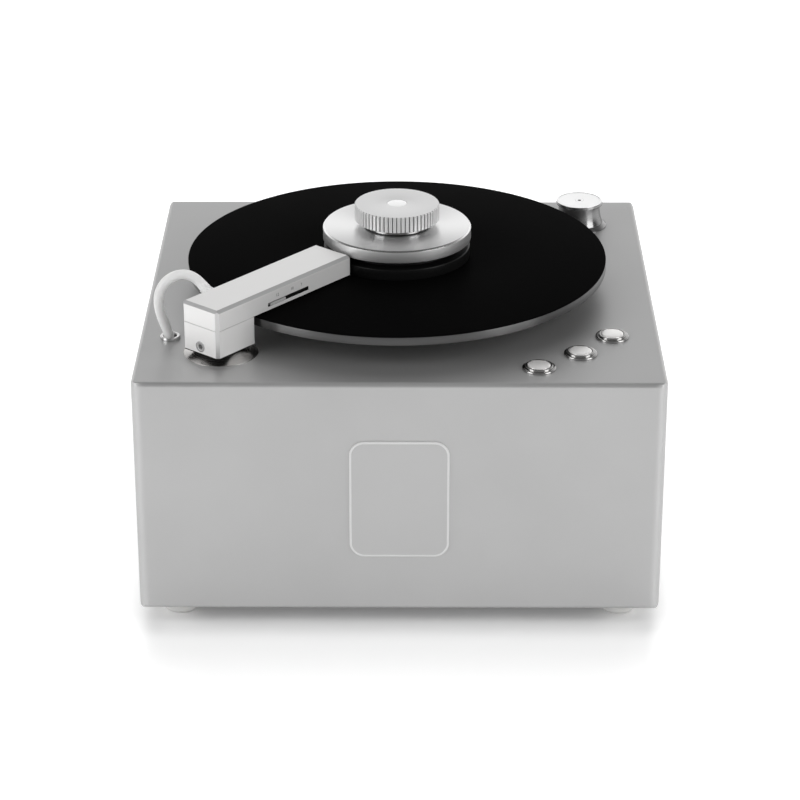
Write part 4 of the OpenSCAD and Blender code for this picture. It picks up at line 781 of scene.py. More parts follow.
class OBJECT_OT_cleaner_casing(Builder):
    """Finish the casing, its feet and the bare plate on its front"""

    bl_idname = "object.cleaner_casing"
    bl_label = "Casing and feet"

    def build(self):
        skin = lacquered("casing_lacquer", colours().casing, 0.64, 0.42, grain=0.5, depth=0.012, spread=0.03)
        self.even_flats(dressed("casing", "casing_shell", skin, before=self.cut_ends).data)
        radius, height = 14, 13.0
        bm = bmesh.new()
        turn_solid(bm, softened([
            (2.55, 4.8), (5.4, 4.8), (5.4, 0.0), (radius - 6, 0.0, 0.6), (radius - 3.0, 0.8, 2.0),
            (radius - 0.8, 3.0, 2.0), (radius, 6.0, 2.0), (radius, height), (2.55, height)], 0.3, 4), segments=96)
        low, high = span("feet")
        spots = [(x, y, 0.0) for x in (low.x + radius, high.x - radius) for y in (low.y + radius, high.y - radius)]
        at_spots("feet_moulded", bm, spots, rubber("pale_rubber", (0.78, 0.775, 0.76), 0.6, 0.35), "feet")
        self.plate(*span("front_plate"))
        recoloured("base_plate", lacquered(
            "base_powder", 92, 0.0, 0.6, grain=0.6, depth=0.04, spread=0.06, speck=0.9))
        recoloured("base_screws", polished("screw_steel", 178, 0.28))

    def cut_ends(self, bm):
        """Cuts the faces just inside the rounded edges, so that a corner's shading stays in the corner."""
        upright, across = 8.8, 3.6
        low, high = span("casing")
        for axis, inside in ((0, upright), (1, upright), (2, across)):
            for level in (low[axis] + inside, high[axis] - inside):
                spot, normal = Vector(), Vector()
                spot[axis], normal[axis] = level, 1.0
                bmesh.ops.bisect_plane(
                    bm, geom=bm.verts[:] + bm.edges[:] + bm.faces[:], dist=0.0001, plane_co=spot, plane_no=normal)

    def even_flats(self, mesh):
        """Exact normals on the flat faces, so that no hole's edge bends the light on them."""
        normals = [corner.vector.copy() for corner in mesh.corner_normals]
        for face in mesh.polygons:
            if max(abs(part) for part in face.normal) > 0.99999:
                for i in face.loop_indices:
                    normals[i] = face.normal.copy()
        mesh.normals_split_custom_set(normals)

    def plate(self, low, high):
        """The bare plate: a satin sheet with round corners and a bevelled rim, made lighter by a painted highlight.
        """
        face = lacquered("plate_satin", 186, 0.6, 0.42, grain=0.4, depth=0.006, spread=0.02)
        # The rim's lighter grey is a painted highlight along the bevelled edge.
        rim = lacquered("plate_rim", 219, 0.1, 0.4, grain=0.2, depth=0.004, spread=0.02)
        corner, front = 10.4, low.y
        outline = []
        for cx, cz, first in ((1, 1, 0), (-1, 1, 90), (-1, -1, 180), (1, -1, 270)):
            mx = (high.x + low.x) / 2 + cx * ((high.x - low.x) / 2 - corner)
            mz = (high.z + low.z) / 2 + cz * ((high.z - low.z) / 2 - corner)
            for k in range(13):
                a = math.radians(first + 90 * k / 12)
                c, s = math.cos(a), math.sin(a)
                outline.append((mx + corner * c, mz + corner * s, c, s))
        bm = bmesh.new()
        rings = [
            [bm.verts.new((x - inset * c, depth, z - inset * s)) for x, z, c, s in outline]
            for inset, depth in ((0.0, high.y), (0.0, front + 0.4), (0.15, front + 0.12), (0.45, front),
                                 (1.35, front), (1.5, front + 0.12), (1.8, front + 0.12))]
        # The bevel's faces take the painted highlight.
        for quad in bridged(bm, rings)[:5 * len(outline)]:
            quad.material_index = 1
        bm.faces.new(rings[-1])
        bm.faces.new(rings[0])
        bmesh.ops.recalc_face_normals(bm, faces=bm.faces)
        finished(bm, "front_plate_bare", face, "front_plate", smooth=30, extra=(rim,))


class OBJECT_OT_cleaner_platter(Builder):
    """Turn the platter and the black mat on it"""

    bl_idname = "object.cleaner_platter"
    bl_label = "Platter and mat"

    def build(self):
        c = (PLATTER_X, PLATTER_Y, PLATTER_Z)
        metal = turned("platter_metal", colours().platter, c, 0.3, metallic=0.95, pitch=0.5, depth=0.003, drawn=0.8)
        # The near-black underside is painted shade: the casing's top below mirrors it and reads darker under the
        # platter.
        under = lacquered("platter_underside", 22, 0.0, 0.6, depth=0.01)
        bore, thick = 3.62, 5.4
        lathe("platter_turned", [
            (bore, 0.0), (PLATTER_R - 7, 0.0, 1.0), (PLATTER_R - 6, -0.8, 0.5), (PLATTER_R - 0.4, -0.8),
            (PLATTER_R, -0.4), (PLATTER_R, thick, 0.35), (bore, thick)],
            c, metal, "platter", segments=256, others=(under,), chosen=lambda face: int(face.normal.z < -0.9))
        black = Finish("mat_black", Specular_IOR_Level=0.0015)
        spot = black.place(c)
        dust = black.noise(spot, 1.3, 3.0, 0.7).smooth(0.62, 0.85)
        cloud = black.noise(spot, 0.02, 2.0)
        black.join(
            Base_Color=black.mix(dust * 0.3 + cloud * 0.4, even(0.0022), even(0.0045)),
            Roughness=0.42 + cloud * 0.1 + dust * 0.1,
            Normal=black.bump(black.noise(spot, 2.5, 2.0), 0.01))
        edge = PLATTER_R - 0.05
        lathe(
            "platter_mat_black",
            [(bore, thick, 0.0), (edge, thick, 0.0), (edge, thick + 1.0, 0.4), (bore, thick + 1.0)],
            c, black.material, "platter_mat", segments=256)
        alloy = turned("hub_alloy", 196, c, 0.3)
        for node in ("platter_hub", "bearing_housing", "drive_pulley"):
            recoloured(node, alloy)
        recoloured("spindle", polished("spindle_steel", 220, 0.06))
        recoloured("bearing_bushes", turned("bush_bronze", 176, c, 0.35, tint=0.22))
        recoloured("bearing_screws", polished("bearing_screw_steel", 150, 0.25))


class OBJECT_OT_cleaner_clamp(Builder):
    """Turn the clamp: black foot, silver disc, polished neck and fluted knob with its white inlay"""

    bl_idname = "object.cleaner_clamp"
    bl_label = "Clamp"

    def build(self):
        x, y, _, low, high = axis_of("clamp_base")
        c = (x, y, 0)
        bore = 3.65
        gloss = Finish("clamp_black", Specular_IOR_Level=0.12)
        fine = gloss.noise(gloss.place(c), 0.9, 3.0)
        gloss.join(
            Base_Color=gloss.mix(fine, even(0.003), even(0.007)), Roughness=0.26 + fine * 0.1,
            Normal=gloss.bump(fine, 0.004))
        lathe("clamp_foot", [
            (bore, low), (52.4, low), (52.4, low + 8, 1.0), (44, low + 8, 0.4), (44, high, 0.0), (bore, high)],
            c, gloss.material, "clamp_base", segments=224)
        low, high = axis_of("clamp_disc")[3:]
        satin = turned("clamp_satin", colours().clamp, c, 0.32, pitch=0.3, depth=0.003, spread=0.02, drawn=0.75)
        side = turned("clamp_side", 214, c, 0.44, pitch=0.4, depth=0.003)

        def disc_finish(face):
            """2 for the side, 1 for the sloped cut round the top, 0 for the rest."""
            if abs(face.normal.z) < 0.3:
                return 2
            return int(abs(face.normal.z - math.sqrt(0.5)) < 0.15 and face.calc_center_median().z > high - 2)

        lathe("clamp_disc_turned", [
            (bore, low), (52.5, low), (53, low + 0.5), (53, high - 1.0, 0.15), (52, high, 0.15), (bore, high)],
            c, satin, "clamp_disc", segments=256, smooth=25,
            others=(polished("clamp_cut_edge", 226, 0.16), side), chosen=disc_finish)
        low, top = axis_of("clamp_neck")[3:]
        foot = low + 0.9
        # The groove at the neck's foot takes the foot's gloss black as a painted shadow: the contact shade under the
        # neck.
        lathe("clamp_neck_polished", [
            (bore, low), (23, low, 0), (23, foot, 0), (24, foot, 0.2), (24, top, 0.3), (10.1, top), (10.1, top - 3),
            (bore, top - 3)], c, polished("neck_metal", 168, 0.08), "clamp_neck", segments=192,
            others=(gloss.material,), chosen=lambda face: int(face.calc_center_median().z < foot + 0.01))
        self.knob(c)
        low, high = axis_of("knob_inlay")[3:]
        white = Finish("inlay_white", Coat_Weight=0.3)
        fine = white.noise(white.place(c), 0.6, 2.0)
        white.join(
            Base_Color=white.mix(fine, grey(246), grey(252)), Roughness=0.2 + fine * 0.1,
            Normal=white.bump(fine, 0.004))
        lathe("knob_inlay_white", [(0, low, 0), (7.12, low), (7.12, high, 0.35), (0, high, 0)],
              c, white.material, "knob_inlay", segments=96)

    def knob(self, c):
        """The knob: a turned core whose grooves take a painted shade, and the lands between them as copies of one
        land.
        """
        low, high = axis_of("clamp_knob")[3:]
        under, core, radius, well = low + 2.8, 29.45, 30.3, 7.2
        satin = turned("knob_satin", 233, c, 0.46, metallic=0.6, pitch=0.3, depth=0.002, spread=0.02)
        land_satin = lacquered("knob_land_satin", 222, 0.6, 0.5, grain=0.3, depth=0.002, spread=0.02)
        # The grooves' dark grey is painted shade, where less light falls between the lands.
        groove = lacquered("knob_groove_shade", 104, 0.4, 0.5, grain=0.3, depth=0.002)
        lathe("clamp_knob_turned", [
            (0, low, 0), (10, low), (10, under, 0), (core, under), (core, high - 0.05, 0.1), (29.3, high, 0.1),
            (well, high, 0.1), (well, high - 1.0, 0), (0, high - 1.0, 0)],
            c, satin, "clamp_knob", radius=0.15, segments=248, smooth=25, others=(groove,),
            chosen=lambda face: int(abs(face.normal.z) < 0.5 and face.calc_center_median().z > under))
        half = (2 * math.pi * radius / sizes().flutes - sizes().flute_gap / MM) / 2
        outline = (
            (core - 0.3, -half - 0.15), (radius - 0.28, -half), (radius - 0.08, -half + 0.25), (radius, 0),
            (radius - 0.08, half - 0.25), (radius - 0.28, half), (core - 0.3, half + 0.15))
        land = bmesh.new()
        rows = []
        for z, back in ((under + 0.02, 0.5), (under + 0.5, 0.0), (high - 0.6, 0.0), (high - 0.02, 0.55)):
            rows.append([land.verts.new((x - (back if x > core else 0.0), y, z)) for x, y in outline])
        for a, b in zip(rows, rows[1:]):
            for k in range(len(outline) - 1):
                land.faces.new((a[k], a[k + 1], b[k + 1], b[k]))
        land.faces.new(rows[-1])
        land.faces.new(rows[0][::-1])
        bmesh.ops.recalc_face_normals(land, faces=land.faces)
        lands = repeated("clamp_knob_lands", land, ring_tree, {
            "Count": sizes().flutes, "Radius": 0.0, "Centre": (c[0] * MM, c[1] * MM, 0.0), "First angle": 0.0},
            land_satin)
        mount(lands, body="knob")


class OBJECT_OT_cleaner_arm(Builder):
    """Finish the suction arm, its slot, tab, lips, screws and figures"""

    bl_idname = "object.cleaner_arm"
    bl_label = "Suction arm"

    def build(self):
        pale = lacquered("arm_satin", colours().arm, 0.4, 0.42, grain=0.4, depth=0.004, spread=0.012, tint=0.006)
        cut = lacquered("arm_cut_edge", 200, 0.75, 0.36, grain=0.3, depth=0.003, spread=0.03)
        # The near-black for the channel's walls, the tab's hidden side and the pad under the block is painted shade,
        # where little light reaches.
        dark = moulded("arm_channel_black", (0.012, 0.012, 0.012), 0.7, specular=0.1)
        for node, before in (("arm_block", self.seam), ("arm_bar", None)):
            dressed(
                node, node + "_soft", pale, bevel=sizes().soft_edge / MM, others=(cut, dark),
                chosen=self.finish_of, before=before)
        dressed(
            "size_slider", "slider_tab", lacquered("slider_satin", 186, 0.3, 0.45), bevel=0.12, others=(dark,),
            chosen=self.behind_wall)
        steel = polished("set_screw_steel", 190, 0.2)
        place = arm_place(-BAR_BACK, 0, SCREW_Z)
        bm = merged_copy("arm_screws")
        spots = [(v, place.inverted() @ v.co) for v in bm.verts]
        plain_screw = [v for v, spot in spots if abs(spot.y) < 3 and abs(spot.z) < 2.7]
        bmesh.ops.delete(bm, geom=plain_screw, context="VERTS")
        socket_bolt(
            bm, [(2.4, 0.25), (2.63, 0.5), (2.63, 10.6), (1.6, 10.6), (1.6, 13.3)], 3.0, 0.25, 2.2,
            place @ quarter("Y"))
        finished(bm, "arm_screws_hex", steel, "arm_screws")
        bm = bmesh.new()
        turn_solid(bm, softened([(2.8, -0.1), (4.0, -0.1), (4.0, 0.22, 0.12), (2.8, 0.22, 0.12)], 0.05), segments=72)
        finished(bm, "arm_screw_ring", steel, body="arm", transform=place @ quarter("Y", -1))
        pile = Finish("lip_pile", Roughness=0.95, Sheen_Weight=0.4)
        tuft = pile.noise(pile.place(), 4.0, 3.0, 0.8)
        pile.join(Base_Color=pile.mix(tuft, even(0.004), even(0.03)), Normal=pile.bump(tuft, 0.3))
        recoloured("arm_lips", pile.material)
        self.shadow_gap_pad(dark)
        self.figures()

    def shadow_gap_pad(self, material):
        """A thin black pad under the block, a little inside its edges, open round the column: painted shade for the
        dark gap under the block's edges.
        """
        half, bore, thick, behind = BAR_W / 2 - 0.5, 9.8, 1.05, 3.5
        top = span("arm_block")[0].z
        bm = bmesh.new()
        rings = []
        for square, z in ((True, top - thick), (True, top), (False, top), (False, top - thick)):
            ring = []
            for c, s in circle(96, 0.5):
                reach = half / max(abs(c), abs(s)) if square else bore
                spot = Vector((c * reach - behind * square, s * reach, z))
                ring.append(bm.verts.new(arm_place() @ spot))
            rings.append(ring)
        bridged(bm, rings, closed=True)
        bmesh.ops.recalc_face_normals(bm, faces=bm.faces)
        finished(bm, "arm_block_pad", material, body="arm")

    def finish_of(self, face):
        """0 for a plain outer face, 1 for a sloped edge, 2 for the walls of the channel inside, which take painted
        shade.
        """
        floor, roof, tip = 1.9, 1.4, 100
        here = arm_place().inverted() @ face.calc_center_median()
        way = Matrix.Rotation(-ARM_ANGLE, 3, "Z") @ face.normal
        sloped = sum(abs(abs(part) - math.sqrt(0.5)) < 0.01 for part in way) == 2
        if sloped and face.calc_area() > 4:
            return 1
        inside = abs(here.y) < BAR_W / 2 - 0.3 and BAR_Z + floor < here.z < BAR_Z + BAR_H - roof
        at_end = here.x < -BAR_BACK + 0.1 or abs(way.x) > 0.9 and here.x > tip
        return 2 if inside and not at_end else 0

    def behind_wall(self, face):
        """1 for what lies behind the bar's wall, which takes the channel's painted shade."""
        here = arm_place().inverted() @ face.calc_center_median()
        return int(here.y > 3.1 - BAR_W / 2)

    def seam(self, bm):
        """A wider slope round the block's top, so that a line shows between the block and the bar."""
        level = max(v.co.z for v in bm.verts)
        rim = [e for e in bm.edges if all(abs(v.co.z - level) < 0.01 for v in e.verts)
               and any(abs(f.normal.z) < 0.1 for f in e.link_faces)
               and (e.verts[0].co - e.verts[1].co).length > 3]
        bmesh.ops.bevel(bm, geom=rim, offset=0.45, segments=1, affect="EDGES")

    def figures(self):
        """The three sizes over the slot, as thin solids. The font's size is larger than its figures."""
        size = sizes().figure_height / MM * 1.38
        ink = lacquered("figure_ink", 96, 0.0, 0.6, grain=0.3, depth=0.002)
        for words, x in (("12", 39.6), ("10", 54.5), ("7", 64.0)):
            curve = bpy.data.curves.new("figure_" + words, "FONT")
            curve.body = words
            curve.size = size
            curve.align_x = curve.align_y = "CENTER"
            curve.extrude = 0.02
            curve.resolution_u = 4
            helper = placed("figure_" + words, curve)
            bpy.context.view_layer.update()
            graph = bpy.context.evaluated_depsgraph_get()
            bm = bmesh.new()
            bm.from_mesh(bpy.data.meshes.new_from_object(helper.evaluated_get(graph)))
            bpy.data.objects.remove(helper)
            finished(
                bm, "arm_figure_" + words, ink, body="arm",
                transform=arm_place(x, -BAR_W / 2 - 0.02, BAR_Z + 8.5, quarter("X")))


class OBJECT_OT_cleaner_pivot(Builder):
    """Turn the flared flange under the arm and finish the column in it"""

    bl_idname = "object.cleaner_pivot"
    bl_label = "Pivot"

    def build(self):
        x, y, _, low, _ = axis_of("pivot_flange")
        c = (x, y, TOP_Z)
        bore, flat, flare, lip, height, rows = 9.05, 15.0, 25.7, 0.3, 4.3, 25
        lean = math.tan(math.radians(8)) * (flare - flat)
        rise = height - lip - lean
        bend = ((flare - flat) ** 2 + rise ** 2) / (2 * rise)
        profile = [
            (bore, low - TOP_Z), (12.05, low - TOP_Z), (12.05, 0.0, 0.0), (flare, 0.0, 0.15), (flare, lip, 0.15)]
        for k in range(1, rows):
            r = flare - (flare - flat) * k / rows
            profile.append((r, lip + lean * k / rows + bend - math.sqrt(bend ** 2 - (flare - r) ** 2), 0.0))
        profile += [(flat, height, 0.2), (bore, height, 0.2)]
        metal = turned("flange_metal", 196, c, 0.26, pitch=0.4, depth=0.0006, spread=0.03, tint=0.02, drawn=0.5)
        lathe("pivot_flange_turned", profile, c, metal, "pivot_flange", radius=0.15)
        dressed("lift_column", "lift_column_steel", polished("column_steel", 205, 0.12))
        recoloured("pivot_nut", polished("nut_steel", 170, 0.25))
        recoloured("column_clip", polished("clip_steel", 140, 0.3))


class OBJECT_OT_cleaner_buttons(Builder):
    """Turn the three push buttons and their bezels"""

    bl_idname = "object.cleaner_buttons"
    bl_label = "Buttons"

    def build(self):
        caps = {node: axis_of(node) for node in ("forward_button", "reverse_button", "suction_button")}
        bm = bmesh.new()
        turn_solid(bm, softened([
            (8.05, 2.6, 0.25), (8.05, -5.5, 0), (0, -5.5, 0), (0, -28.0, 0), (9.4, -28.0, 0.3), (9.4, 0.0, 0.0),
            (11.6, 0.0, 0.15), (11.6, 1.5, 1.0), (9.6, 1.5, 0.0), (9.6, 2.6, 0.8)], 0.2, 4), segments=112)
        at_spots(
            "button_bezels_turned", bm, [(x, y, TOP_Z) for x, y, *_ in caps.values()],
            polished("bezel_metal", 176, 0.1, tint=0.01), "button_bezels")
        for node, (x, y, radius, low, high) in caps.items():
            steel = turned(
                node + "_steel", 250, (x, y), 0.3, metallic=0.58, pitch=0.3, depth=0.001, spread=0.02, tint=0.012)
            lathe(node + "_cap", [
                (0, low, 0), (radius, low), (radius, high - 0.55, 0.5), (radius - 1.0, high - 0.18, 0.5),
                (radius * 0.55, high - 0.04, 0), (0, high, 0)], (x, y, 0), steel, node, segments=112, smooth=40)
        recoloured("button_nuts", polished("button_nut_steel", 160, 0.3))


class OBJECT_OT_cleaner_post(Builder):
    """Turn the post at the right rear"""

    bl_idname = "object.cleaner_post"
    bl_label = "Rear post"

    def build(self):
        c = (POST_X, POST_Y, TOP_Z)
        bright = turned("post_metal", 138, c, 0.2, pitch=0.25, depth=0.0006, spread=0.02, drawn=0.75)
        # The white on the top faces is a painted highlight: the metal top of the post shows white in the light.
        white = turned("post_top_satin", 255, c, 0.34, metallic=0.0, pitch=0.25, depth=0.0006, spread=0.01)
        hole, base, well, floor, top = 2.55, 3.0, 16.5, 19.5, 20.0
        lathe(
            "post_base_turned", [(hole, 0), (20.9, 0, 0.1), (20.9, 0.6, 0.15), (18.0, base, 0.15), (hole, base)],
            c, bright, "post_base")
        high, foot, waist, rim, narrow = 17.6, 17.9, 15.7, 17.3, 13.6
        bend = ((narrow - base) ** 2 + (foot - waist) ** 2) / (2 * (foot - waist))
        profile = [(hole, base), (foot, base, 0.1)]
        for k in range(1, 24):
            z = base + (high - base) * k / 24
            profile.append((waist + bend - math.sqrt(max(bend ** 2 - (z - narrow) ** 2, 0)), z, 0.0))
        profile += [
            (foot - 0.05, high, 0.1), (rim, high, 0.1), (rim, top, 0.7), (rim - 1.6, top, 0.25),
            (rim - 1.6, floor, 0.25), (3.25, floor, 0.05), (3.25, well, 0.0), (hole, well, 0.0)]

        def on_top(slope):
            """Chooses the white of the painted highlight for the faces of the top that lie flatter than a slope."""
            return lambda face: int(face.normal.z > slope and face.calc_center_median().z > TOP_Z + 19)

        lathe("post_body_turned", profile, c, bright, "post_body", radius=0.12, others=(white,), chosen=on_top(0.6))
        low = span("post_screw")[0].z - TOP_Z
        lathe("post_screw_plug", [
            (0, low, 0), (2.5, low, 0.2), (2.5, well, 0), (3.2, well, 0), (3.2, floor, 0.05), (1.3, floor, 0.1),
            (1.2, 17.6, 0), (0, 17.2, 0)], c, bright, "post_screw", segments=72, others=(white,), chosen=on_top(0.9))


class OBJECT_OT_cleaner_rear(Builder):
    """Finish the rear panel, the inlet, the switch and the drain"""

    bl_idname = "object.cleaner_rear"
    bl_label = "Rear panel"

    def build(self):
        dark = moulded("socket_plastic", (0.022, 0.022, 0.023), 0.5)
        for node, material, bevel, made in (
                ("rear_panel", lacquered("panel_paint", 168, 0.2, 0.5, grain=0.4, depth=0.01), 0.2, "pressed"),
                ("mains_inlet", dark, 0.25, "moulded"), ("switch_frame", dark, 0.25, "moulded"),
                ("power_rocker", moulded("rocker_plastic", (0.012, 0.012, 0.013), 0.25, depth=0.01), 0.2, "moulded")):
            dressed(node, f"{node}_{made}", material, bevel=bevel)
        recoloured("rear_screws", polished("panel_screw_steel", 176, 0.25))
        recoloured("drain_spout", moulded("spout_plastic", (0.72, 0.73, 0.74), 0.4))
        self.drain_cap(rubber("cap_rubber", (0.02, 0.02, 0.02)))

    def drain_cap(self, material):
        """A closed cap with twenty shallow grooves for the fingers, its open end towards the panel."""
        low, high = span("drain_cap")
        radius, length = (high.x - low.x) / 2, high.y - low.y
        bore, groove, count, deep = radius - 1.7, radius - 0.01, 20, 0.4
        bm = bmesh.new()
        turn_solid(bm, softened([
            (0, length - 2, 0), (bore, length - 2), (bore, 0), (radius, 0, 0.4), (radius, 1.5, 0), (groove, 2.2, 0),
            (groove, length - 2.6, 0), (radius, length - 1.9, 0), (radius, length, 0.9), (0, length, 0)], 0.2, 4),
            segments=160)
        for v in bm.verts:
            r = math.hypot(v.co.x, v.co.y)
            if r > radius - 0.5 and 2 < v.co.z < length - 2.4:
                inward = deep * (0.5 + 0.5 * math.cos(count * math.atan2(v.co.y, v.co.x)))
                v.co.x *= 1 - inward / r
                v.co.y *= 1 - inward / r
        middle = Matrix.Translation(((low.x + high.x) / 2, low.y, (low.z + high.z) / 2))
        finished(bm, "drain_cap_ribbed", material, "drain_cap", smooth=40, transform=middle @ quarter("X", -1))


class OBJECT_OT_cleaner_inside(Builder):
    """Finish the pieces inside the casing"""

    bl_idname = "object.cleaner_inside"
    bl_label = "Inside"

    def build(self):
        tank = moulded("tank_plastic", (0.74, 0.76, 0.78), 0.35, depth=0.02)
        for node in ("waste_tank", "tank_lid"):
            recoloured(node, tank)
        duct = moulded("duct_plastic", (0.10, 0.105, 0.11), 0.45)
        for node in ("air_duct", "fan_case"):
            recoloured(node, duct)
        for node in ("fan_motor", "platter_motor"):
            x, y = axis_of(node)[:2]
            recoloured(node, turned(node + "_can", 150, (x, y), 0.35, pitch=0.5))
        recoloured("transformer", self.laminated())
        recoloured("impeller", lacquered("impeller_alloy", 190, 1.0, 0.35))
        recoloured("motor_pulley", turned("pulley_bronze", 180, axis_of("motor_pulley"), 0.3, tint=0.2))
        recoloured("motor_carrier", lacquered("carrier_zinc", 178, 0.9, 0.4))
        recoloured("drive_belt", rubber("belt_rubber", (0.015, 0.015, 0.015)))
        recoloured("wiring", rubber("wire_rubber", (0.02, 0.02, 0.02), 0.5, 0.4))
        board = Finish("board_lacquer")
        low, high = span("control_board")
        x, y, z = board.parts(board.place((low.x, low.y, low.z)))
        tracks = ((x * 1.3).sine() * (y * 0.9).sine()).above(0.35)
        grain = board.noise(board.place(), 1.5, 2.0)
        parts, lids = z.above(9.7), z.above(high.z - low.z - 0.1)
        green = board.mix(tracks, (0.01, 0.09, 0.03, 1), (0.02, 0.16, 0.06, 1))
        sleeve = board.mix(grain, (0.012, 0.014, 0.022, 1), (0.03, 0.034, 0.05, 1))
        board.join(
            Base_Color=board.mix(lids, board.mix(parts, green, sleeve), grey(190)),
            Metallic=lids * 1.0, Roughness=0.3 + grain * 0.15, Normal=board.bump(tracks * (1 - parts), 0.03))
        recoloured("control_board", board.material)

    def laminated(self):
        """Varnished core sheets stacked along Y, and amber tape on the coil that stands out of them."""
        low, high = span("transformer")
        f = Finish("core_sheets")
        x, y, z = f.parts(f.place(((low.x + high.x) / 2, (low.y + high.y) / 2, 0)))
        coil = abs(y).above((high.y - low.y) / 2 - 3.9)
        sheets = (y * 12.6).sine() * 0.5 + 0.5
        tape = (z * 1.4).sine().smooth(-0.2, 0.2)
        fine = f.noise(f.place(), 0.8, 3.0)
        steel = f.mix(sheets * 0.6 + fine * 0.4, grey(58), grey(104))
        amber = f.mix(tape * 0.3 + fine * 0.3, (0.45, 0.24, 0.03, 1), (0.62, 0.36, 0.06, 1))
        return f.join(
            Base_Color=f.mix(coil, steel, amber), Metallic=(1 - coil) * 0.7, Roughness=0.32 + fine * 0.16,
            Normal=f.bump(sheets * (1 - coil), 0.05))


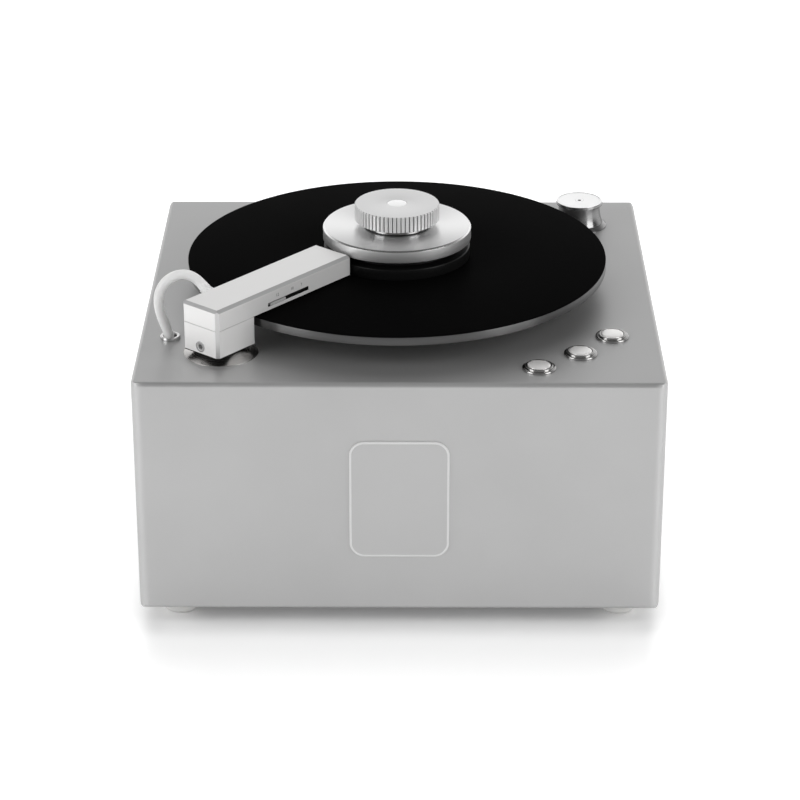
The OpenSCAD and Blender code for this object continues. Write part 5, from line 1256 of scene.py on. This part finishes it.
class OBJECT_OT_cleaner_stage(Builder):
    """Set the floor, the studio lamps and the white surroundings"""

    bl_idname = "object.cleaner_stage"
    bl_label = "Studio"

    def build(self):
        self.floor()
        self.surroundings()
        self.lamp("Lamp overhead", (0.0, 0.8, 1.3), (0, 0.1, 0.17), 1.5, 1.0, 9.0, False)
        self.lamp("Lamp left", (-1.6, -0.9, 0.9), (0, 0, 0.1), 1.1, 1.6, 18.2, True)
        self.lamp("Lamp right", (1.6, -0.9, 0.9), (0, 0, 0.1), 1.1, 1.6, 18.2, True)

    def lamp(self, name, place, aim, width, height, power, mirrored):
        data = bpy.data.lights.new(name, "AREA")
        data.shape = "RECTANGLE"
        data.size = width
        data.size_y = height
        data.energy = power
        lamp = placed(name, data)
        lamp.visible_glossy = mirrored
        lamp.location = place
        lamp.rotation_euler = (Vector(aim) - Vector(place)).to_track_quat("-Z", "Y").to_euler()

    def floor(self):
        bm = bmesh.new()
        bmesh.ops.create_circle(bm, cap_ends=True, segments=96, radius=8.0)
        mesh = bpy.data.meshes.new("floor")
        bm.to_mesh(mesh)
        bm.free()
        sheet = Finish("floor_white", Specular_IOR_Level=0.4)
        grain = sheet.noise(sheet.place(), 0.3, 2.0)
        sheet.join(Base_Color=sheet.mix(grain, even(0.93), even(0.95)), Roughness=0.28 + grain * 0.04)
        # Painted light: the floor glows for camera and glossy rays, white beside and behind the casing so that no
        # shadow shows there, and less near its front so that the front shadow stays.
        painted_floor_light = sheet.node("ShaderNodeEmission", {}, {0: even(1), 1: 0.5})
        none = sheet.node("ShaderNodeEmission", {}, {0: even(0), 1: 0.0})
        low, high = span("casing")
        x, y, _ = sheet.parts(sheet.place(((low.x + high.x) / 2, (low.y + high.y) / 2, 0)))
        beside = (abs(x) - (high.x - low.x) / 2).smooth(-12, 14)
        ahead = -y - (high.y - low.y) / 2
        before = ahead.smooth(-2, 24) * 0.52 + ahead.smooth(22, 96) * 0.48
        behind = (y - (high.y - low.y) / 2).smooth(0, 26)
        share = 0.2 + 0.65 * (beside + before + behind).clamped()
        seen = (sheet.asks("Camera") + sheet.asks("Glossy")).clamped()
        pick = sheet.node("ShaderNodeMixShader", {}, {0: seen * share, 1: none, 2: painted_floor_light})
        total = sheet.node("ShaderNodeAddShader", {}, {0: Wire(sheet, sheet.shader.outputs[0]), 1: pick})
        sheet.tree.links.new(total.socket, sheet.output.inputs["Surface"])
        mesh.materials.append(sheet.material)
        placed("floor", mesh)

    def surroundings(self):
        """White for the camera and behind clear pieces. What metal sees of it, and what lights the machine, is
        white up to a low height and dims towards the ceiling and towards the front."""
        world = bpy.data.worlds.new("Studio")
        bpy.context.scene.world = world
        world.use_nodes = True
        world.node_tree.nodes.clear()
        room = Bench(world.node_tree)
        x, y, z = room.parts(room.node("ShaderNodeTexCoord", output="Generated"))
        height = z.smooth(0.25, 0.65)
        front = (-y).smooth(0.3, 0.9) * (1 - abs(x).smooth(0.15, 0.6)) * (1 - z.smooth(0.0, 0.5))
        back = y.smooth(-0.1, 0.6)
        side = abs(x).smooth(0.72, 0.95) * (1 - back) * (1 - z.smooth(0.1, 0.4))
        level = 0.76 + room.asks("Glossy") * (0.74 * back - 0.30 - 0.36 * side)
        strength = level * (1 - 0.75 * height) * (1 - 0.5 * front)
        dim = room.node("ShaderNodeBackground", {}, {0: even(1), 1: strength})
        white = room.node("ShaderNodeBackground", {}, {0: even(1), 1: 1.0})
        seen = (room.asks("Camera") + room.asks("Transmission")).clamped()
        both = room.node("ShaderNodeMixShader", {}, {0: seen, 1: dim, 2: white})
        out = world.node_tree.nodes.new("ShaderNodeOutputWorld")
        world.node_tree.links.new(both.socket, out.inputs["Surface"])
        bpy.context.scene.view_settings.view_transform = "Standard"


class VIEW3D_PT_record_cleaner(bpy.types.Panel):
    """Lists the build steps and their settings"""

    bl_label = "Record cleaner"
    bl_idname = "VIEW3D_PT_record_cleaner"
    bl_space_type = "VIEW_3D"
    bl_region_type = "UI"
    bl_category = "Record cleaner"

    def draw(self, context):
        layout = self.layout
        for group in (sizes(), colours()):
            column = layout.column(align=True)
            for key in group.bl_rna.properties.keys():
                if key not in ("rna_type", "name"):
                    column.prop(group, key)
        for step in STEPS:
            layout.operator(step.bl_idname)


STEPS = (
    OBJECT_OT_cleaner_camera,
    OBJECT_OT_cleaner_hose,
    OBJECT_OT_cleaner_casing,
    OBJECT_OT_cleaner_platter,
    OBJECT_OT_cleaner_clamp,
    OBJECT_OT_cleaner_arm,
    OBJECT_OT_cleaner_pivot,
    OBJECT_OT_cleaner_buttons,
    OBJECT_OT_cleaner_post,
    OBJECT_OT_cleaner_rear,
    OBJECT_OT_cleaner_inside,
    OBJECT_OT_cleaner_stage,
)
CLASSES = (RecordCleanerSizes, RecordCleanerColours, *STEPS, VIEW3D_PT_record_cleaner)


def register():
    for each in CLASSES:
        bpy.utils.register_class(each)
    bpy.types.Scene.record_cleaner_sizes = bpy.props.PointerProperty(type=RecordCleanerSizes)
    bpy.types.Scene.record_cleaner_colours = bpy.props.PointerProperty(type=RecordCleanerColours)


def unregister():
    del bpy.types.Scene.record_cleaner_colours
    del bpy.types.Scene.record_cleaner_sizes
    for each in reversed(CLASSES):
        bpy.utils.unregister_class(each)


def main():
    register()
    for step in STEPS:
        group, name = step.bl_idname.split(".")
        getattr(getattr(bpy.ops, group), name)()


if __name__ == "__main__":
    main()
